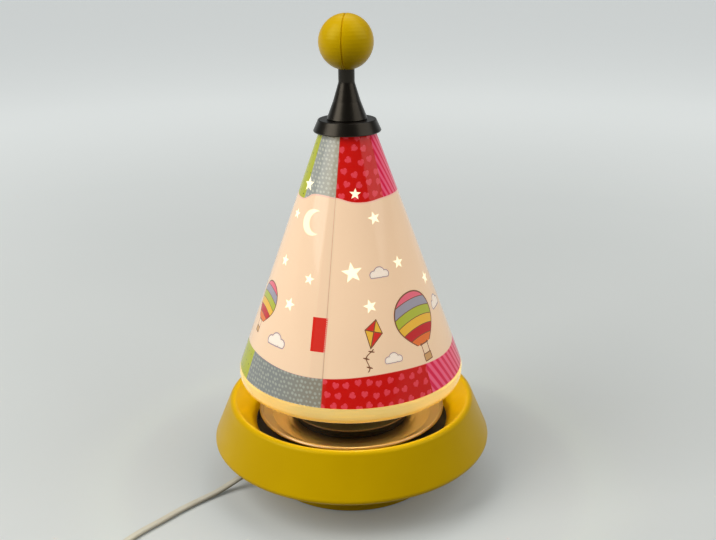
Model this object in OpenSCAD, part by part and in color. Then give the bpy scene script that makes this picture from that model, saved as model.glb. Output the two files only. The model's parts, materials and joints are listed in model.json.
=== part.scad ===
// Rotating motion lamp: a printed cone shade that the bulb's warm air turns on a needle,
// above a round base with a metal dish. Millimetres, +Z up, origin on the floor at the lamp's axis.

/* [Base ring] */
// Radius of the centre of the rounded lower edge
base_low_r = 102.8; // [98:0.2:108]
// Height of the centre of the rounded lower edge
base_low_z = 33.6; // [30:0.2:38]
// Rounding radius of the lower edge
base_low_round = 3.2; // [2.4:0.1:4]
// Radius where the sloping outer wall ends
crest_r = 94; // [90:0.2:98]
// Height where the sloping outer wall ends
crest_z = 62.9; // [58:0.1:68]
// Rounding radius of the crest
crest_round = 3.4; // [2.6:0.1:4.2]
// Radius of the upright wall of the well
well_r = 74; // [72.5:0.5:77]
// Height where the well's slope meets its upright wall
well_edge_z = 46; // [44.6:0.2:48]
// Height of the well's floor
well_floor_z = 41; // [39:0.5:43]
// Wall thickness of the base ring
base_wall = 3; // [2:0.1:3.6]
// Radius of the hole in the well's floor
well_hole_r = 21; // [19:0.5:24]

/* [Foot] */
// Radius of the foot near the floor
foot_r = 67.5; // [64:0.5:70]
// Radius of the foot's wall where it turns outwards
foot_top_r = 69.5; // [67:0.5:73]
// Height where the foot's wall turns outwards
foot_turn_z = 20; // [18:0.5:23]
// Height of the underside just past the turn
foot_flare_z = 25.5; // [24:0.5:27]
// Space between the foot's lower edge and the floor
foot_space = 0.8; // [0.6:0.1:2]
// Rounding radius of the foot's lower edge
foot_round = 1.4; // [1:0.1:3]
// Wall thickness of the foot
foot_wall = 2.5; // [2:0.1:3]
// Width of the ledge that the steel plate lies against
ledge_w = 4.5; // [3.5:0.1:5.5]
// Thickness of that ledge
ledge_t = 2; // [1.5:0.1:3]

/* [Bottom plate] */
// Radius of the steel plate
plate_r = 62; // [61:0.1:62.5]
// Thickness of the steel plate
plate_t = 3; // [2:0.5:4]
// Height of the rubber feet
pad_h = 3; // [2.6:0.1:4]
// Radius of a rubber foot
pad_r = 6.5; // [5:0.5:8]
// Distance of the rubber feet from the axis
pad_place_r = 48; // [44:1:52]
// Number of rubber feet, and of bottom screws
pad_count = 4; // [3:1:6]
// Radius of a bottom screw's shank
bottom_screw_r = 1.9; // [1.5:0.1:2.2]
// Radius of a bottom screw's head
bottom_head_r = 4; // [3.4:0.1:4.4]
// Height of a bottom screw's head
bottom_head_h = 1.8; // [1.2:0.1:2.2]
// Length of a bottom screw's shank
bottom_screw_len = 20; // [14:1:26]
// Distance of the bottom screws from the axis
bottom_screw_place_r = 50; // [46:1:54]
// Radius of the bosses that the bottom screws enter
boss_r = 5; // [4.2:0.2:6]

/* [Dish] */
// Radius of the dish's rolled rim, at its outside
dish_r = 71.3; // [69:0.1:73]
// Height of the centre of the rolled rim
dish_rim_z = 54.3; // [53:0.1:56]
// Radius of the roll
dish_roll_r = 1.3; // [1:0.1:1.5]
// Height of the dish's floor, on top
dish_floor_z = 47.6; // [46.5:0.1:48.5]
// Radius where the dish's floor starts to rise
dish_flat_r = 50; // [48:0.5:53]
// Rise of the dish half way up its side
dish_mid_rise = 2.6; // [2:0.1:3.2]
// Thickness of the dish's sheet
dish_t = 1; // [0.7:0.1:1.2]
// Radius of the hole in the dish
dish_hole_r = 26; // [24:0.5:28]
// Number of spacers under the dish
spacer_count = 3; // [3:1:3]
// Distance of the spacers from the axis
spacer_place_r = 37; // [36:0.5:38]
// Radius of a spacer
spacer_r = 4.5; // [3.8:0.1:5]
// Radius of the shank of the screws through the spacers
dish_screw_r = 1.6; // [1.3:0.1:1.9]
// Radius of their heads
dish_head_r = 3.4; // [2.8:0.1:4]
// Height of their heads
dish_head_h = 2.6; // [2:0.1:3]
// Length of their shanks
dish_screw_len = 14; // [12:0.5:14.5]

/* [Well liner] */
// Thickness of the black steel ring that lines the well under the dish
liner_t = 0.8; // [0.6:0.1:1.2]
// Radius of the hole in that ring
liner_in_r = 54; // [50:0.5:58]
// Height of its upturned edge over the well's floor
liner_h = 4; // [3:0.2:4.6]

/* [Hub] */
// Radius of the black hub plate
hub_r = 46.6; // [45.5:0.1:48]
// Height of the hub plate's upper face
hub_top_z = 55.7; // [55:0.1:57]
// Thickness of the hub plate
hub_t = 2.4; // [2:0.1:3]
// Radius of the hub's skirt, at its outside
hub_skirt_r = 44; // [43:0.2:45]
// Thickness of the hub's skirt
hub_skirt_t = 2; // [1.5:0.1:2.5]
// Depth of the step that leaves a raised lip round the plate
hub_lip_h = 0.8; // [0.4:0.1:1]
// Width of the raised lip
hub_lip_w = 2.2; // [1.5:0.1:3]

/* [Lampholder] */
// Radius of the lampholder's body
holder_r = 13.5; // [12.5:0.1:14.5]
// Height of the lampholder's lower end
holder_low_z = 26; // [24.5:0.5:27]
// Height of the lampholder's mouth
holder_top_z = 66; // [64.5:0.5:68]
// Radius of the lampholder's cavity
holder_bore_r = 8.3; // [8.1:0.1:9]
// Height of the floor of that cavity
holder_bore_z = 37; // [35:0.5:38.5]
// Outer radius of the two ring nuts on the lampholder
ring_nut_r = 18.5; // [17:0.5:19]
// Height of a ring nut
ring_nut_h = 4; // [3:0.2:4]
// Radius of the threaded sleeve inside, at its inside
sleeve_r = 7.2; // [7.1:0.05:7.3]
// Wall thickness of that sleeve
sleeve_t = 0.6; // [0.4:0.1:0.7]
// Length of that sleeve
sleeve_len = 19; // [16:1:20]

/* [Bulb] */
// Radius of the glass globe
globe_r = 22.5; // [17:0.5:23]
// Height of the centre of the globe
globe_z = 99; // [97:0.5:104]
// Radius of the glass neck
neck_glass_r = 6.6; // [6:0.1:6.7]
// Thickness of the glass
glass_t = 0.7; // [0.5:0.1:1]
// Radius of the screw cap
cap_bulb_r = 6.9; // [6.7:0.05:7]
// Height of the screw cap's lower end
cap_bulb_z = 43; // [42:0.5:44]
// Length of the screw cap
cap_bulb_len = 22; // [20:0.5:24]
// Radius of the glass stem inside
stem_r = 2.6; // [2:0.1:3]
// Half of the distance between the filament's supports
filament_half = 8; // [5:0.5:10]
// Radius of the filament's coil
filament_r = 0.5; // [0.4:0.1:0.8]
// Radius of the support wires
support_r = 0.5; // [0.4:0.1:0.7]

/* [Needle bridge] */
// Radius of the bridge's wire
bridge_wire_r = 1.5; // [1.2:0.1:1.8]
// Half of the bridge's width, from the axis to the middle of a leg
bridge_half = 30; // [28:0.5:31]
// Height of the centre of the bridge's arch
bridge_arch_z = 185; // [175:1:190]
// Height of the needle's tip
needle_tip_z = 236; // [230:0.5:238]
// Radius of the needle
needle_r = 0.95; // [0.7:0.05:1.1]
// Length of the needle's point
needle_point = 5; // [3:0.5:7]
// Radius of the ferrule that holds the needle
ferrule_r = 3.2; // [2.8:0.1:3.8]
// Height of the ferrule above the wire
ferrule_rise = 4.5; // [3:0.5:6]
// Across-corners radius of the nuts on the bridge's legs
bridge_nut_r = 4; // [3.4:0.1:4.4]
// Height of those nuts
bridge_nut_h = 2.6; // [2:0.1:2.8]

/* [Shade] */
// Radius of the shade at its shoulder, over the print
shade_low_r = 84.5; // [80:0.5:86]
// Height of the shoulder
shade_low_z = 91.5; // [89:0.5:94]
// Radius of the shade at its top, over the print
shade_top_r = 19.8; // [19:0.2:22]
// Height of the shade's top
shade_top_z = 269; // [266:0.5:269]
// Wall thickness of the moulded cone
shell_t = 1.2; // [1:0.1:1.5]
// Thickness of the printed sheet
print_t = 0.3; // [0.2:0.05:0.4]
// Height of the printed sheet's lower edge
print_low_z = 93.3; // [92.5:0.1:98]
// Distance from the printed sheet's upper edge to the shade's top
print_top_gap = 1; // [0.5:0.1:3]
// Height of the clear rim's lower edge
rim_low_z = 81.4; // [80:0.2:84]
// How far the clear rim draws in at its lower edge
rim_draw = 2.7; // [1.5:0.1:4]
// How far the clear rim's lip reaches inwards
rim_lip = 2; // [1.5:0.1:3]

/* [Turbine] */
// Height of the turbine ring's lower edge
turbine_z = 236; // [235:0.5:238]
// Height of the turbine ring
turbine_h = 9; // [8:0.5:10]
// Thickness of the turbine ring
turbine_ring_t = 1.2; // [1:0.1:1.6]
// Number of blades
blade_count = 8; // [5:1:10]
// Width of a blade
blade_w = 9; // [7:0.5:9.5]
// Thickness of a blade
blade_t = 0.8; // [0.6:0.1:1.1]
// Slope of a blade from level
blade_slope = 35; // [25:1:40]
// Outer radius of the turbine's hub
turbine_hub_r = 7; // [6.2:0.2:8]
// Radius of the bearing cup
cup_r = 4; // [3.6:0.1:4.2]
// Length of the bearing cup above its flange
cup_h = 7.6; // [7:0.2:8]
// Radius of the bearing cup's flange
cup_flange_r = 5.2; // [4.8:0.1:6]
// Thickness of that flange
cup_flange_t = 1; // [0.8:0.1:1.2]
// Radius of the mouth of the cup's conical seat
cup_mouth_r = 2.3; // [1.8:0.1:2.6]
// Depth of the conical seat
cup_depth = 3.8; // [3.2:0.1:4.5]

/* [Cap] */
// Outer radius of the black flange at its lower edge
flange_low_r = 24; // [22.6:0.2:25]
// Outer radius of the black flange at its upper edge
flange_top_r = 20.8; // [19:0.2:22]
// How far the flange's lower edge reaches below the shade's top
flange_drop = 0.5; // [0:0.1:0.6]
// Height of the flange's upper face above the shade's top
flange_rise = 8; // [7:0.2:10]
// Thickness of the flange
flange_t = 2.4; // [1.8:0.1:2.6]
// Radius of the black cone at its foot
cone_low_r = 14.2; // [12:0.2:16]
// Radius of the black cone at its top
cone_top_r = 5.9; // [5.8:0.05:6.4]
// Height of the black cone above the flange
cone_h = 24.7; // [20:0.1:27]
// Radius of the neck under the ball
neck_r = 5.7; // [5.2:0.1:5.8]
// Radius of the cone's spigot in the flange
spigot_r = 4.9; // [4.5:0.1:6]
// Radius of the boss of the spider inside the shade's top
spider_boss_r = 6; // [5:0.2:7]
// Height of the spider's ring
spider_h = 5; // [4:0.5:6]
// Thickness of the spider's ring
spider_t = 1.6; // [1.2:0.1:2]
// Width of a spider arm
spider_arm_w = 3; // [2.4:0.2:4]
// Radius of the long screw's shank
long_screw_r = 1.8; // [1.5:0.1:2]
// Radius of the long screw's head
long_head_r = 3.6; // [3:0.1:4]
// Height of the long screw's head
long_head_h = 3; // [2.2:0.2:3.4]

/* [Ball] */
// Radius of the ball
ball_r = 19.1; // [18:0.1:22]
// Height of the ball's centre above the black cone
ball_rise = 27.9; // [26.4:0.1:30]
// Wall thickness of the ball
ball_t = 2.4; // [2:0.2:3]
// Thickness of the ball's floor, where the neck enters
ball_floor = 5; // [4:0.5:6]
// Radius of the neck's head inside the ball
neck_head_r = 8.5; // [7.5:0.1:9]
// Thickness of the neck's head
neck_head_h = 2.8; // [2:0.2:3.5]
// Azimuth of the ball's parting line, from the front, to the left
parting = 10; // [0:1:30]
// Depth of the groove along the parting line
parting_groove = 0.8; // [0.3:0.1:0.8]
// Radius of the dowel between the two halves
dowel_r = 1.5; // [1.2:0.1:1.8]
// Length of that dowel
dowel_len = 10; // [8:1:12]
// Height of the dowel above the ball's centre
dowel_rise = 6; // [4:0.5:8]
// Radius of the bosses that hold the dowel
dowel_boss_r = 3.4; // [2.8:0.1:4]

/* [Cord] */
// Width of the flat cord
cord_w = 5.2; // [4.8:0.1:5.4]
// Height of the flat cord
cord_h = 3.4; // [3:0.1:3.6]
// Direction in which the cord leaves the foot, from +X
exit_turn = 200; // [195:1:205]
// Height of the middle of the cord where it leaves the foot
exit_z = 9.5; // [9.2:0.1:11]
// Radius of the strain relief where it passes the foot
relief_r = 5; // [4.6:0.1:5.4]
// Radius of the strain relief at its tip
relief_tip_r = 3.7; // [3.3:0.1:4.4]
// Distance of the strain relief's tip from the lamp's axis
relief_tip = 85.5; // [84:0.5:92]
// Radius of the flange inside the foot
relief_flange_r = 6.2; // [5.8:0.1:7]
// Thickness of that flange
relief_flange_t = 1.5; // [1:0.1:1.8]
// Number of grooves round the strain relief
relief_grooves = 4; // [2:1:5]
// Radius of an inner core of the cord
core_r = 1.1; // [0.9:0.05:1.2]

/* [Coil] */
// Radius of the innermost turn
coil_in_r = 21; // [20.8:0.1:24]
// Step from one turn to the next in a layer
coil_step = 5.7; // [5.7:0.1:7]
// Step from one layer to the next
layer_step = 3.9; // [3.9:0.1:5]
// Thickness of the tie's strap
tie_t = 0.6; // [0.4:0.1:0.8]
// Width of the tie's strap
tie_w = 10; // [6:1:14]
// Direction of the tie from the coil's centre
tie_turn = 130; // [110:5:160]

/* [Switch] */
// Length of the switch on the cord
switch_len = 58; // [50:1:60]
// Width of the switch
switch_w = 26; // [24:0.5:30]
// Height of the lower half of the switch
switch_low_h = 8; // [7.5:0.5:9]
// Height of the upper half of the switch
switch_up_h = 7; // [6:0.5:8]
// Wall thickness of the switch
switch_t = 1.6; // [1.2:0.1:2]
// Rounding radius of the switch's corners
switch_round = 9; // [6:0.5:11]
// Length of the rocker
rocker_len = 17; // [14:0.5:20]
// Width of the rocker
rocker_w = 10; // [8:0.5:12]
// Rise of the rocker's ends above its pin
rocker_rise = 4.6; // [4:0.1:5]
// Tilt of the rocker when the lamp is on
rocker_tilt = 9; // [6:1:11]
// Radius of the rocker's pin
rocker_pin_r = 1; // [0.8:0.1:1.2]

/* [Plug] */
// Length of the plug's body
plug_len = 34; // [30:1:38]
// Width of the plug's face
plug_w = 35.3; // [34:0.1:36]
// Height of the plug's face
plug_h = 13.7; // [13:0.1:14.5]
// Distance between the two pins
pin_space = 18.6; // [17.5:0.1:19]
// Radius of a pin
pin_r = 2; // [1.9:0.05:2.2]
// Length of a pin outside the plug
pin_len = 19; // [18:0.5:19.5]
// Length of the sleeve on a pin
pin_sleeve_len = 10; // [8:0.5:11]

/* [Fits] */
// Clearance between pieces that sit in or on each other
fit = 0.1; // [0.05:0.01:0.15]
// Running clearance of a pin that turns in its bore
run = 0.06; // [0.03:0.01:0.09]
// Space between a fixed piece and a curved face beside it
air = 0.3; // [0.2:0.05:0.4]
// Sides of the round parts as drawn
facets = 96; // [64:8:160]

/* [Hidden] */
$fn = facets;

// Levels that follow from the sizes above.
plate_z = pad_h;
plate_top_z = plate_z + plate_t;
well_under_z = well_floor_z - base_wall;
hub_under_z = hub_top_z - hub_lip_h - hub_t;
base_lean = atan((base_low_r + base_low_round - crest_r) / (crest_z - base_low_z));
shade_lean = atan((shade_low_r - shade_top_r) / (shade_top_z - shade_low_z));
print_top_z = shade_top_z - print_top_gap;
bridge_low_z = hub_under_z - bridge_nut_h - 1;
bridge_top_z = bridge_arch_z + bridge_half;
cup_low_z = needle_tip_z + air - cup_depth;
hub_low_z = cup_low_z + cup_flange_t + fit;
flange_low_z = shade_top_z - flange_drop;
flange_top_z = shade_top_z + flange_rise;
flange_under_z = flange_top_z - flange_t;
cone_top_z = flange_top_z + cone_h;
ball_z = cone_top_z + ball_rise;
ball_low_z = ball_z - ball_r;
ball_floor_z = ball_low_z + ball_floor;
neck_head_z = ball_floor_z + fit;
long_head_z = neck_head_z + neck_head_h;
spider_top_z = shade_top_z - 0.6;
spider_z = spider_top_z - spider_h;
exit_dir = [cos(exit_turn), sin(exit_turn), 0];
relief_seat = foot_r - foot_wall;

// Radii of the shade at a height: over the print, over the bare cone, and inside.
function shade_r(z) = shade_low_r - (z - shade_low_z) * tan(shade_lean);
function bare_r(z) = shade_r(z) - (print_t + fit) / cos(shade_lean);
function inner_r(z) = bare_r(z) - shell_t / cos(shade_lean);

// Points along an arc, for outlines.
function arc(c, r, from, to, n = 8) =
    [for (i = [0:n]) let (a = from + (to - from) * i / n) [c.x + r * cos(a), c.y + r * sin(a)]];
function unit(v) = v / norm(v);

module ring(r_out, r_in, h) {
    difference() {
        cylinder(r = r_out, h = h);
        translate([0, 0, -1]) cylinder(r = r_in, h = h + 2);
    }
}

module around(count, radius, turn = 0) {
    for (i = [0:count - 1]) rotate([0, 0, turn + i * 360 / count]) translate([radius, 0, 0]) children();
}

module stadium(w, h) {
    square([w - h, h], center = true);
    for (side = [-1, 1]) translate([side * (w - h) / 2, 0]) circle(d = h);
}

module rounded(w, h, r) {
    square([w - 2 * r, h], center = true);
    square([w, h - 2 * r], center = true);
    for (sx = [-1, 1], sy = [-1, 1]) translate([sx * (w / 2 - r), sy * (h / 2 - r)]) circle(r = r);
}

// Puts its children on a line that leaves the lamp in the cord's direction, their +Z along it.
module along_exit(distance) {
    rotate([0, 0, exit_turn]) translate([distance, 0, exit_z]) rotate([0, 90, 0]) rotate([0, 0, 90]) children();
}

// ---- Base ----

// The crest's arc meets the outer wall and the well's slope at right angles to its radius.
crest_c = [crest_r - crest_round * cos(base_lean), crest_z - crest_round * sin(base_lean)];
well_edge = [well_r + 0.6, well_edge_z];
well_far = crest_c - well_edge;
well_lean = atan2(well_far.y, well_far.x) + asin(crest_round / norm(well_far));
base_join_r = base_low_r - 1.5;
base_join_z = base_low_z - base_low_round;

module base_ring() {
    inner_round = max(crest_round - base_wall, 0.3);
    outside = concat(
        [[base_join_r, base_join_z]],
        arc([base_low_r, base_low_z], base_low_round, -90, base_lean, 6),
        arc(crest_c, crest_round, base_lean, well_lean + 90, 10),
        [well_edge, [well_r, well_edge_z - 1], [well_r, well_floor_z], [well_hole_r, well_floor_z]]);
    inside = concat(
        [[well_hole_r, well_under_z], [well_r + base_wall, well_under_z],
         [well_r + base_wall, well_edge_z - base_wall / 2]],
        arc(crest_c, inner_round, well_lean + 90, base_lean, 4),
        [[base_low_r + base_low_round - base_wall * 1.2, base_low_z],
         [base_join_r, base_join_z + foot_wall + 0.2]]);
    color("gold") difference() {
        union() {
            rotate_extrude() polygon(concat(outside, inside));
            around(pad_count, bottom_screw_place_r)
                translate([0, 0, plate_top_z]) cylinder(r = boss_r, h = well_under_z + 1 - plate_top_z);
        }
        around(pad_count, bottom_screw_place_r)
            translate([0, 0, plate_top_z - 1]) cylinder(r = bottom_screw_r + run, h = bottom_screw_len);
        around(spacer_count, spacer_place_r)
            translate([0, 0, well_under_z - 1]) cylinder(r = dish_screw_r + air, h = base_wall + 2);
    }
}

module foot_shell() {
    low_in = foot_r - foot_wall;
    outside = concat(
        [[low_in - 0.5, foot_space]],
        arc([foot_r - foot_round, foot_space + foot_round], foot_round, -90, 0, 5),
        [[foot_top_r, foot_turn_z], [foot_top_r + 4, foot_flare_z], [base_join_r - air, base_join_z]]);
    inside = [[base_join_r - air, base_join_z + foot_wall], [foot_top_r + 3, foot_flare_z + foot_wall],
              [foot_top_r - foot_wall, foot_turn_z + foot_wall * 0.4],
              [low_in + 0.3, plate_top_z + ledge_t], [low_in - ledge_w, plate_top_z + ledge_t],
              [low_in - ledge_w, plate_top_z], [low_in - 0.5, plate_top_z]];
    color("goldenrod") difference() {
        rotate_extrude() polygon(concat(outside, inside));
        along_exit(foot_r - ledge_w * 2) cylinder(r = relief_r + fit, h = ledge_w * 2 + foot_wall + 4);
        along_exit(foot_r - ledge_w * 2 - 2)
            cylinder(r = relief_flange_r + fit, h = relief_seat + fit - foot_r + ledge_w * 2 + 2);
    }
}

module bottom_plate() {
    color("dimgray") difference() {
        translate([0, 0, plate_z]) cylinder(r = plate_r, h = plate_t);
        around(pad_count, bottom_screw_place_r)
            translate([0, 0, plate_z - 1]) cylinder(r = bottom_screw_r + air, h = plate_t + 2);
        for (side = [-1, 1]) clamp_screw_at(side)
            translate([0, 0, plate_z - 1]) cylinder(r = clamp_screw_r + run, h = plate_t + 2);
        translate([0, 0, plate_z - 1]) cylinder(r = block_screw_r + run, h = plate_t + 2);
    }
}

module bottom_screws() {
    color("silver") around(pad_count, bottom_screw_place_r) {
        translate([0, 0, plate_z]) cylinder(r = bottom_screw_r, h = bottom_screw_len);
        difference() {
            translate([0, 0, plate_z - bottom_head_h]) cylinder(r = bottom_head_r, h = bottom_head_h);
            for (turn = [0, 90]) rotate([0, 0, turn]) translate([0, 0, plate_z - bottom_head_h])
                cube([bottom_head_r, 0.9, bottom_head_h], center = true);
        }
    }
}

module rubber_feet() {
    color("black") around(pad_count, pad_place_r, 180 / pad_count)
        rotate_extrude() polygon([[0, 0], [pad_r - 0.8, 0], [pad_r, 0.8], [pad_r, pad_h], [0, pad_h]]);
}

// ---- Well liner ----

module well_liner() {
    out_r = well_r - fit;
    top_z = well_floor_z + liner_t;
    edge_z = well_floor_z + liner_h;
    color("black") rotate_extrude() polygon([
        [liner_in_r, well_floor_z], [out_r - liner_t, well_floor_z], [out_r, top_z], [out_r, edge_z],
        [out_r - liner_t, edge_z], [out_r - liner_t, top_z], [liner_in_r, top_z]]);
}

// ---- Dish and hub ----

dish_out_r = dish_r - dish_roll_r;
dish_mid_r = (dish_flat_r + dish_out_r) / 2 + 1;

module dish() {
    top = [[dish_hole_r, dish_floor_z], [dish_flat_r, dish_floor_z + 0.4],
           [dish_mid_r, dish_floor_z + dish_mid_rise], [dish_out_r - dish_roll_r - 0.3, dish_rim_z - 0.2]];
    under = [for (i = [len(top) - 1:-1:0]) top[i] - [0, dish_t]];
    rolled = arc([dish_out_r, dish_rim_z], dish_roll_r, 150, -150, 14);
    color("tan") difference() {
        rotate_extrude() polygon(concat(top, rolled, under));
        around(spacer_count, spacer_place_r)
            translate([0, 0, dish_floor_z - dish_t * 2]) cylinder(r = dish_screw_r + air, h = dish_t * 4);
    }
}

module dish_spacers() {
    color("silver") around(spacer_count, spacer_place_r) translate([0, 0, well_floor_z])
        ring(spacer_r, dish_screw_r + air, dish_floor_z - dish_t - fit - well_floor_z);
}

module dish_screws() {
    color("silver") around(spacer_count, spacer_place_r) {
        translate([0, 0, well_under_z]) cylinder(r = dish_screw_r, h = dish_screw_len);
        difference() {
            translate([0, 0, well_under_z - dish_head_h]) cylinder(r = dish_head_r, h = dish_head_h);
            translate([0, 0, well_under_z - dish_head_h]) cube([dish_head_r * 1.3, 0.8, 2.2], center = true);
        }
    }
}

module hub_plate() {
    lip_r = hub_r - hub_lip_w;
    skirt_in = hub_skirt_r - hub_skirt_t;
    low = dish_floor_z + 0.5;
    color("black") difference() {
        union() {
            rotate_extrude() polygon(concat(
                [[holder_r + air, hub_under_z], [skirt_in, hub_under_z], [skirt_in, low], [hub_skirt_r, low],
                 [hub_skirt_r, hub_under_z], [hub_r - 0.6, hub_under_z]],
                [[hub_r, hub_under_z + 0.6]],
                arc([hub_r - 0.9, hub_top_z - 0.9], 0.9, 0, 90, 4),
                [[lip_r, hub_top_z], [lip_r - 0.8, hub_top_z - hub_lip_h],
                 [holder_r + air, hub_top_z - hub_lip_h]]));
            around(spacer_count, spacer_place_r)
                translate([0, 0, low]) cylinder(r = spacer_r, h = hub_under_z + 0.5 - low);
        }
        around(spacer_count, spacer_place_r)
            translate([0, 0, low - 1]) cylinder(r = dish_screw_r + run, h = dish_screw_len + well_under_z - low + 1.2);
        for (side = [-1, 1]) translate([0, side * bridge_half, hub_under_z - 1])
            cylinder(r = bridge_wire_r + fit, h = hub_t + 4);
    }
}

// ---- Lampholder and bulb ----

hub_seat_z = hub_top_z - hub_lip_h;

module lampholder() {
    color("whitesmoke") difference() {
        union() {
            translate([0, 0, holder_low_z]) cylinder(r = holder_r, h = holder_top_z - holder_low_z);
            translate([0, 0, holder_low_z]) cylinder(r = holder_r - 2.5, h = 1);
        }
        translate([0, 0, holder_bore_z]) cylinder(r = holder_bore_r, h = holder_top_z);
        for (side = [-1, 1]) translate([side * lead_half, 0, holder_low_z - 1]) cylinder(r = core_r + fit, h = 6);
    }
}

module holder_ring_nuts() {
    color("gainsboro") for (z = [hub_seat_z, hub_under_z - ring_nut_h]) translate([0, 0, z]) difference() {
        ring(ring_nut_r, holder_r + run, ring_nut_h);
        around(12, ring_nut_r + 0.5) translate([0, 0, -1]) cylinder(r = 1.3, h = ring_nut_h + 2, $fn = 24);
    }
}

module holder_sleeve() {
    color("peru") translate([0, 0, cap_bulb_z - 0.5]) ring(sleeve_r + sleeve_t, sleeve_r, sleeve_len);
    color("peru") translate([0, 0, holder_bore_z]) ring(holder_bore_r - fit, sleeve_r, cap_bulb_z - 0.5 - holder_bore_z);
}

module holder_contact() {
    tip_z = cap_bulb_z - bulb_tip_h - fit;
    color("peru") translate([0, 0, holder_bore_z + 0.4]) cube([9, 4, 0.8], center = true);
    color("peru") translate([0, 0, (holder_bore_z + tip_z) / 2]) cube([2, 3, tip_z - holder_bore_z], center = true);
}

bulb_tip_h = 3;
lead_half = 4;
glass_join_z = cap_bulb_z + cap_bulb_len;

// The glass runs from the neck in a smooth flare into the globe.
flare_z = globe_z - globe_r * 0.80;
flare_r = globe_r * 0.60;

module bulb_glass() {
    outer = concat([[neck_glass_r, glass_join_z], [neck_glass_r + 0.9, glass_join_z + 5]],
                   arc([0, globe_z], globe_r, -asin(0.80), 90, 14));
    core = concat([[0, globe_z + globe_r - glass_t]],
                  arc([0, globe_z], globe_r - glass_t, 88, -asin(0.80), 14),
                  [[neck_glass_r + 0.9 - glass_t, glass_join_z + 5], [neck_glass_r - glass_t, glass_join_z]]);
    color("lightyellow", 0.4) rotate_extrude() polygon(concat(outer, core));
}

module bulb_cap() {
    color("silver") {
        translate([0, 0, cap_bulb_z]) cylinder(r = cap_bulb_r, h = cap_bulb_len - 3);
        translate([0, 0, glass_join_z - 3]) cylinder(r = neck_glass_r + 1, h = 3);
        translate([0, 0, cap_bulb_z - bulb_tip_h]) cylinder(r1 = 2, r2 = 4.4, h = bulb_tip_h);
    }
}

stem_top_z = globe_z - globe_r * 0.45;

module bulb_stem() {
    color("lightcyan") {
        translate([0, 0, glass_join_z]) cylinder(r = neck_glass_r - glass_t - fit, h = 2);
        translate([0, 0, glass_join_z]) cylinder(r = stem_r, h = stem_top_z - glass_join_z);
        for (side = [-1, 1]) {
            translate([0, 0, stem_top_z - 1]) rotate([0, side * filament_splay, 0])
                cylinder(r = support_r, h = filament_rise / cos(filament_splay), $fn = 16);
        }
    }
}

filament_z = globe_z;
filament_rise = filament_z - stem_top_z + 1;
filament_splay = atan(filament_half / filament_rise);

module bulb_filament() {
    color("orange") translate([-filament_half - 1, 0, filament_z + filament_r + support_r + 0.1])
        rotate([0, 90, 0]) cylinder(r = filament_r, h = 2 * filament_half + 2, $fn = 16);
}

// ---- Needle bridge ----

module needle_bridge() {
    color("silver") {
        for (side = [-1, 1]) translate([0, side * bridge_half, bridge_low_z])
            cylinder(r = bridge_wire_r, h = bridge_arch_z - bridge_low_z, $fn = 48);
        translate([0, 0, bridge_arch_z]) rotate([90, 0, 90])
            rotate_extrude(angle = 180) translate([bridge_half, 0]) circle(r = bridge_wire_r, $fn = 48);
    }
}

module bridge_nuts() {
    color("silver") for (side = [-1, 1], z = [hub_seat_z, hub_under_z - bridge_nut_h])
        translate([0, side * bridge_half, z]) difference() {
            cylinder(r = bridge_nut_r, h = bridge_nut_h, $fn = 6);
            translate([0, 0, -1]) cylinder(r = bridge_wire_r + run, h = bridge_nut_h + 2, $fn = 48);
        }
}

ferrule_top_z = bridge_top_z + bridge_wire_r + ferrule_rise;

module needle_ferrule() {
    color("peru") difference() {
        translate([0, 0, bridge_top_z - 1.2]) cylinder(r = ferrule_r, h = ferrule_top_z - bridge_top_z + 1.2);
        translate([0, 0, bridge_arch_z]) rotate([90, 0, 90]) rotate([0, 0, 60])
            rotate_extrude(angle = 60) translate([bridge_half, 0]) circle(r = bridge_wire_r + fit, $fn = 48);
        translate([0, 0, bridge_top_z + bridge_wire_r + 1]) cylinder(r = needle_r + run, h = ferrule_rise, $fn = 48);
    }
}

module needle() {
    low = bridge_top_z + bridge_wire_r + 1 + fit;
    color("lightgray") rotate_extrude($fn = 48) polygon([
        [0, low], [needle_r, low], [needle_r, needle_tip_z - needle_point], [0.15, needle_tip_z - 0.1],
        [0, needle_tip_z]]);
}

// ---- Wiring in the base ----

block_size = [24, 14, 11];
block_screw_r = 1.5;
clamp_screw_r = 1.5;
clamp_at = 42;
clamp_half = 8;
clamp_size = [9, 24, 8.6];
jacket_end = 32;

module clamp_screw_at(side) {
    rotate([0, 0, exit_turn]) translate([clamp_at, side * clamp_half, 0]) children();
}

module terminal_block() {
    color("ivory") difference() {
        translate([-block_size.x / 2, -block_size.y / 2, plate_top_z]) cube(block_size);
        rotate([0, 0, exit_turn]) for (side = [-1, 1])
            translate([0, side * core_space, exit_z]) rotate([0, 90, 0]) cylinder(r = core_r + fit, h = 30, $fn = 32);
        for (side = [-1, 1]) {
            translate([side * lead_half, 0, plate_top_z + block_size.z - 4]) cylinder(r = core_r + fit, h = 9, $fn = 32);
            translate([side * 8.6, 0, plate_top_z + block_size.z - 5]) cylinder(r = 1.6, h = 9, $fn = 32);
        }
        translate([0, 0, plate_top_z - 1]) cylinder(r = block_screw_r + run, h = 7, $fn = 32);
    }
}

core_space = 1.5;

module terminal_screws() {
    color("silver") {
        for (side = [-1, 1]) translate([side * 8.6, 0, plate_top_z + block_size.z - 5 + fit])
            cylinder(r = 1.6 - fit, h = 4, $fn = 32);
        translate([0, 0, plate_z - 1.2]) cylinder(r = 3, h = 1.2);
        translate([0, 0, plate_z]) cylinder(r = block_screw_r, h = plate_t + 5, $fn = 32);
    }
}

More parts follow.
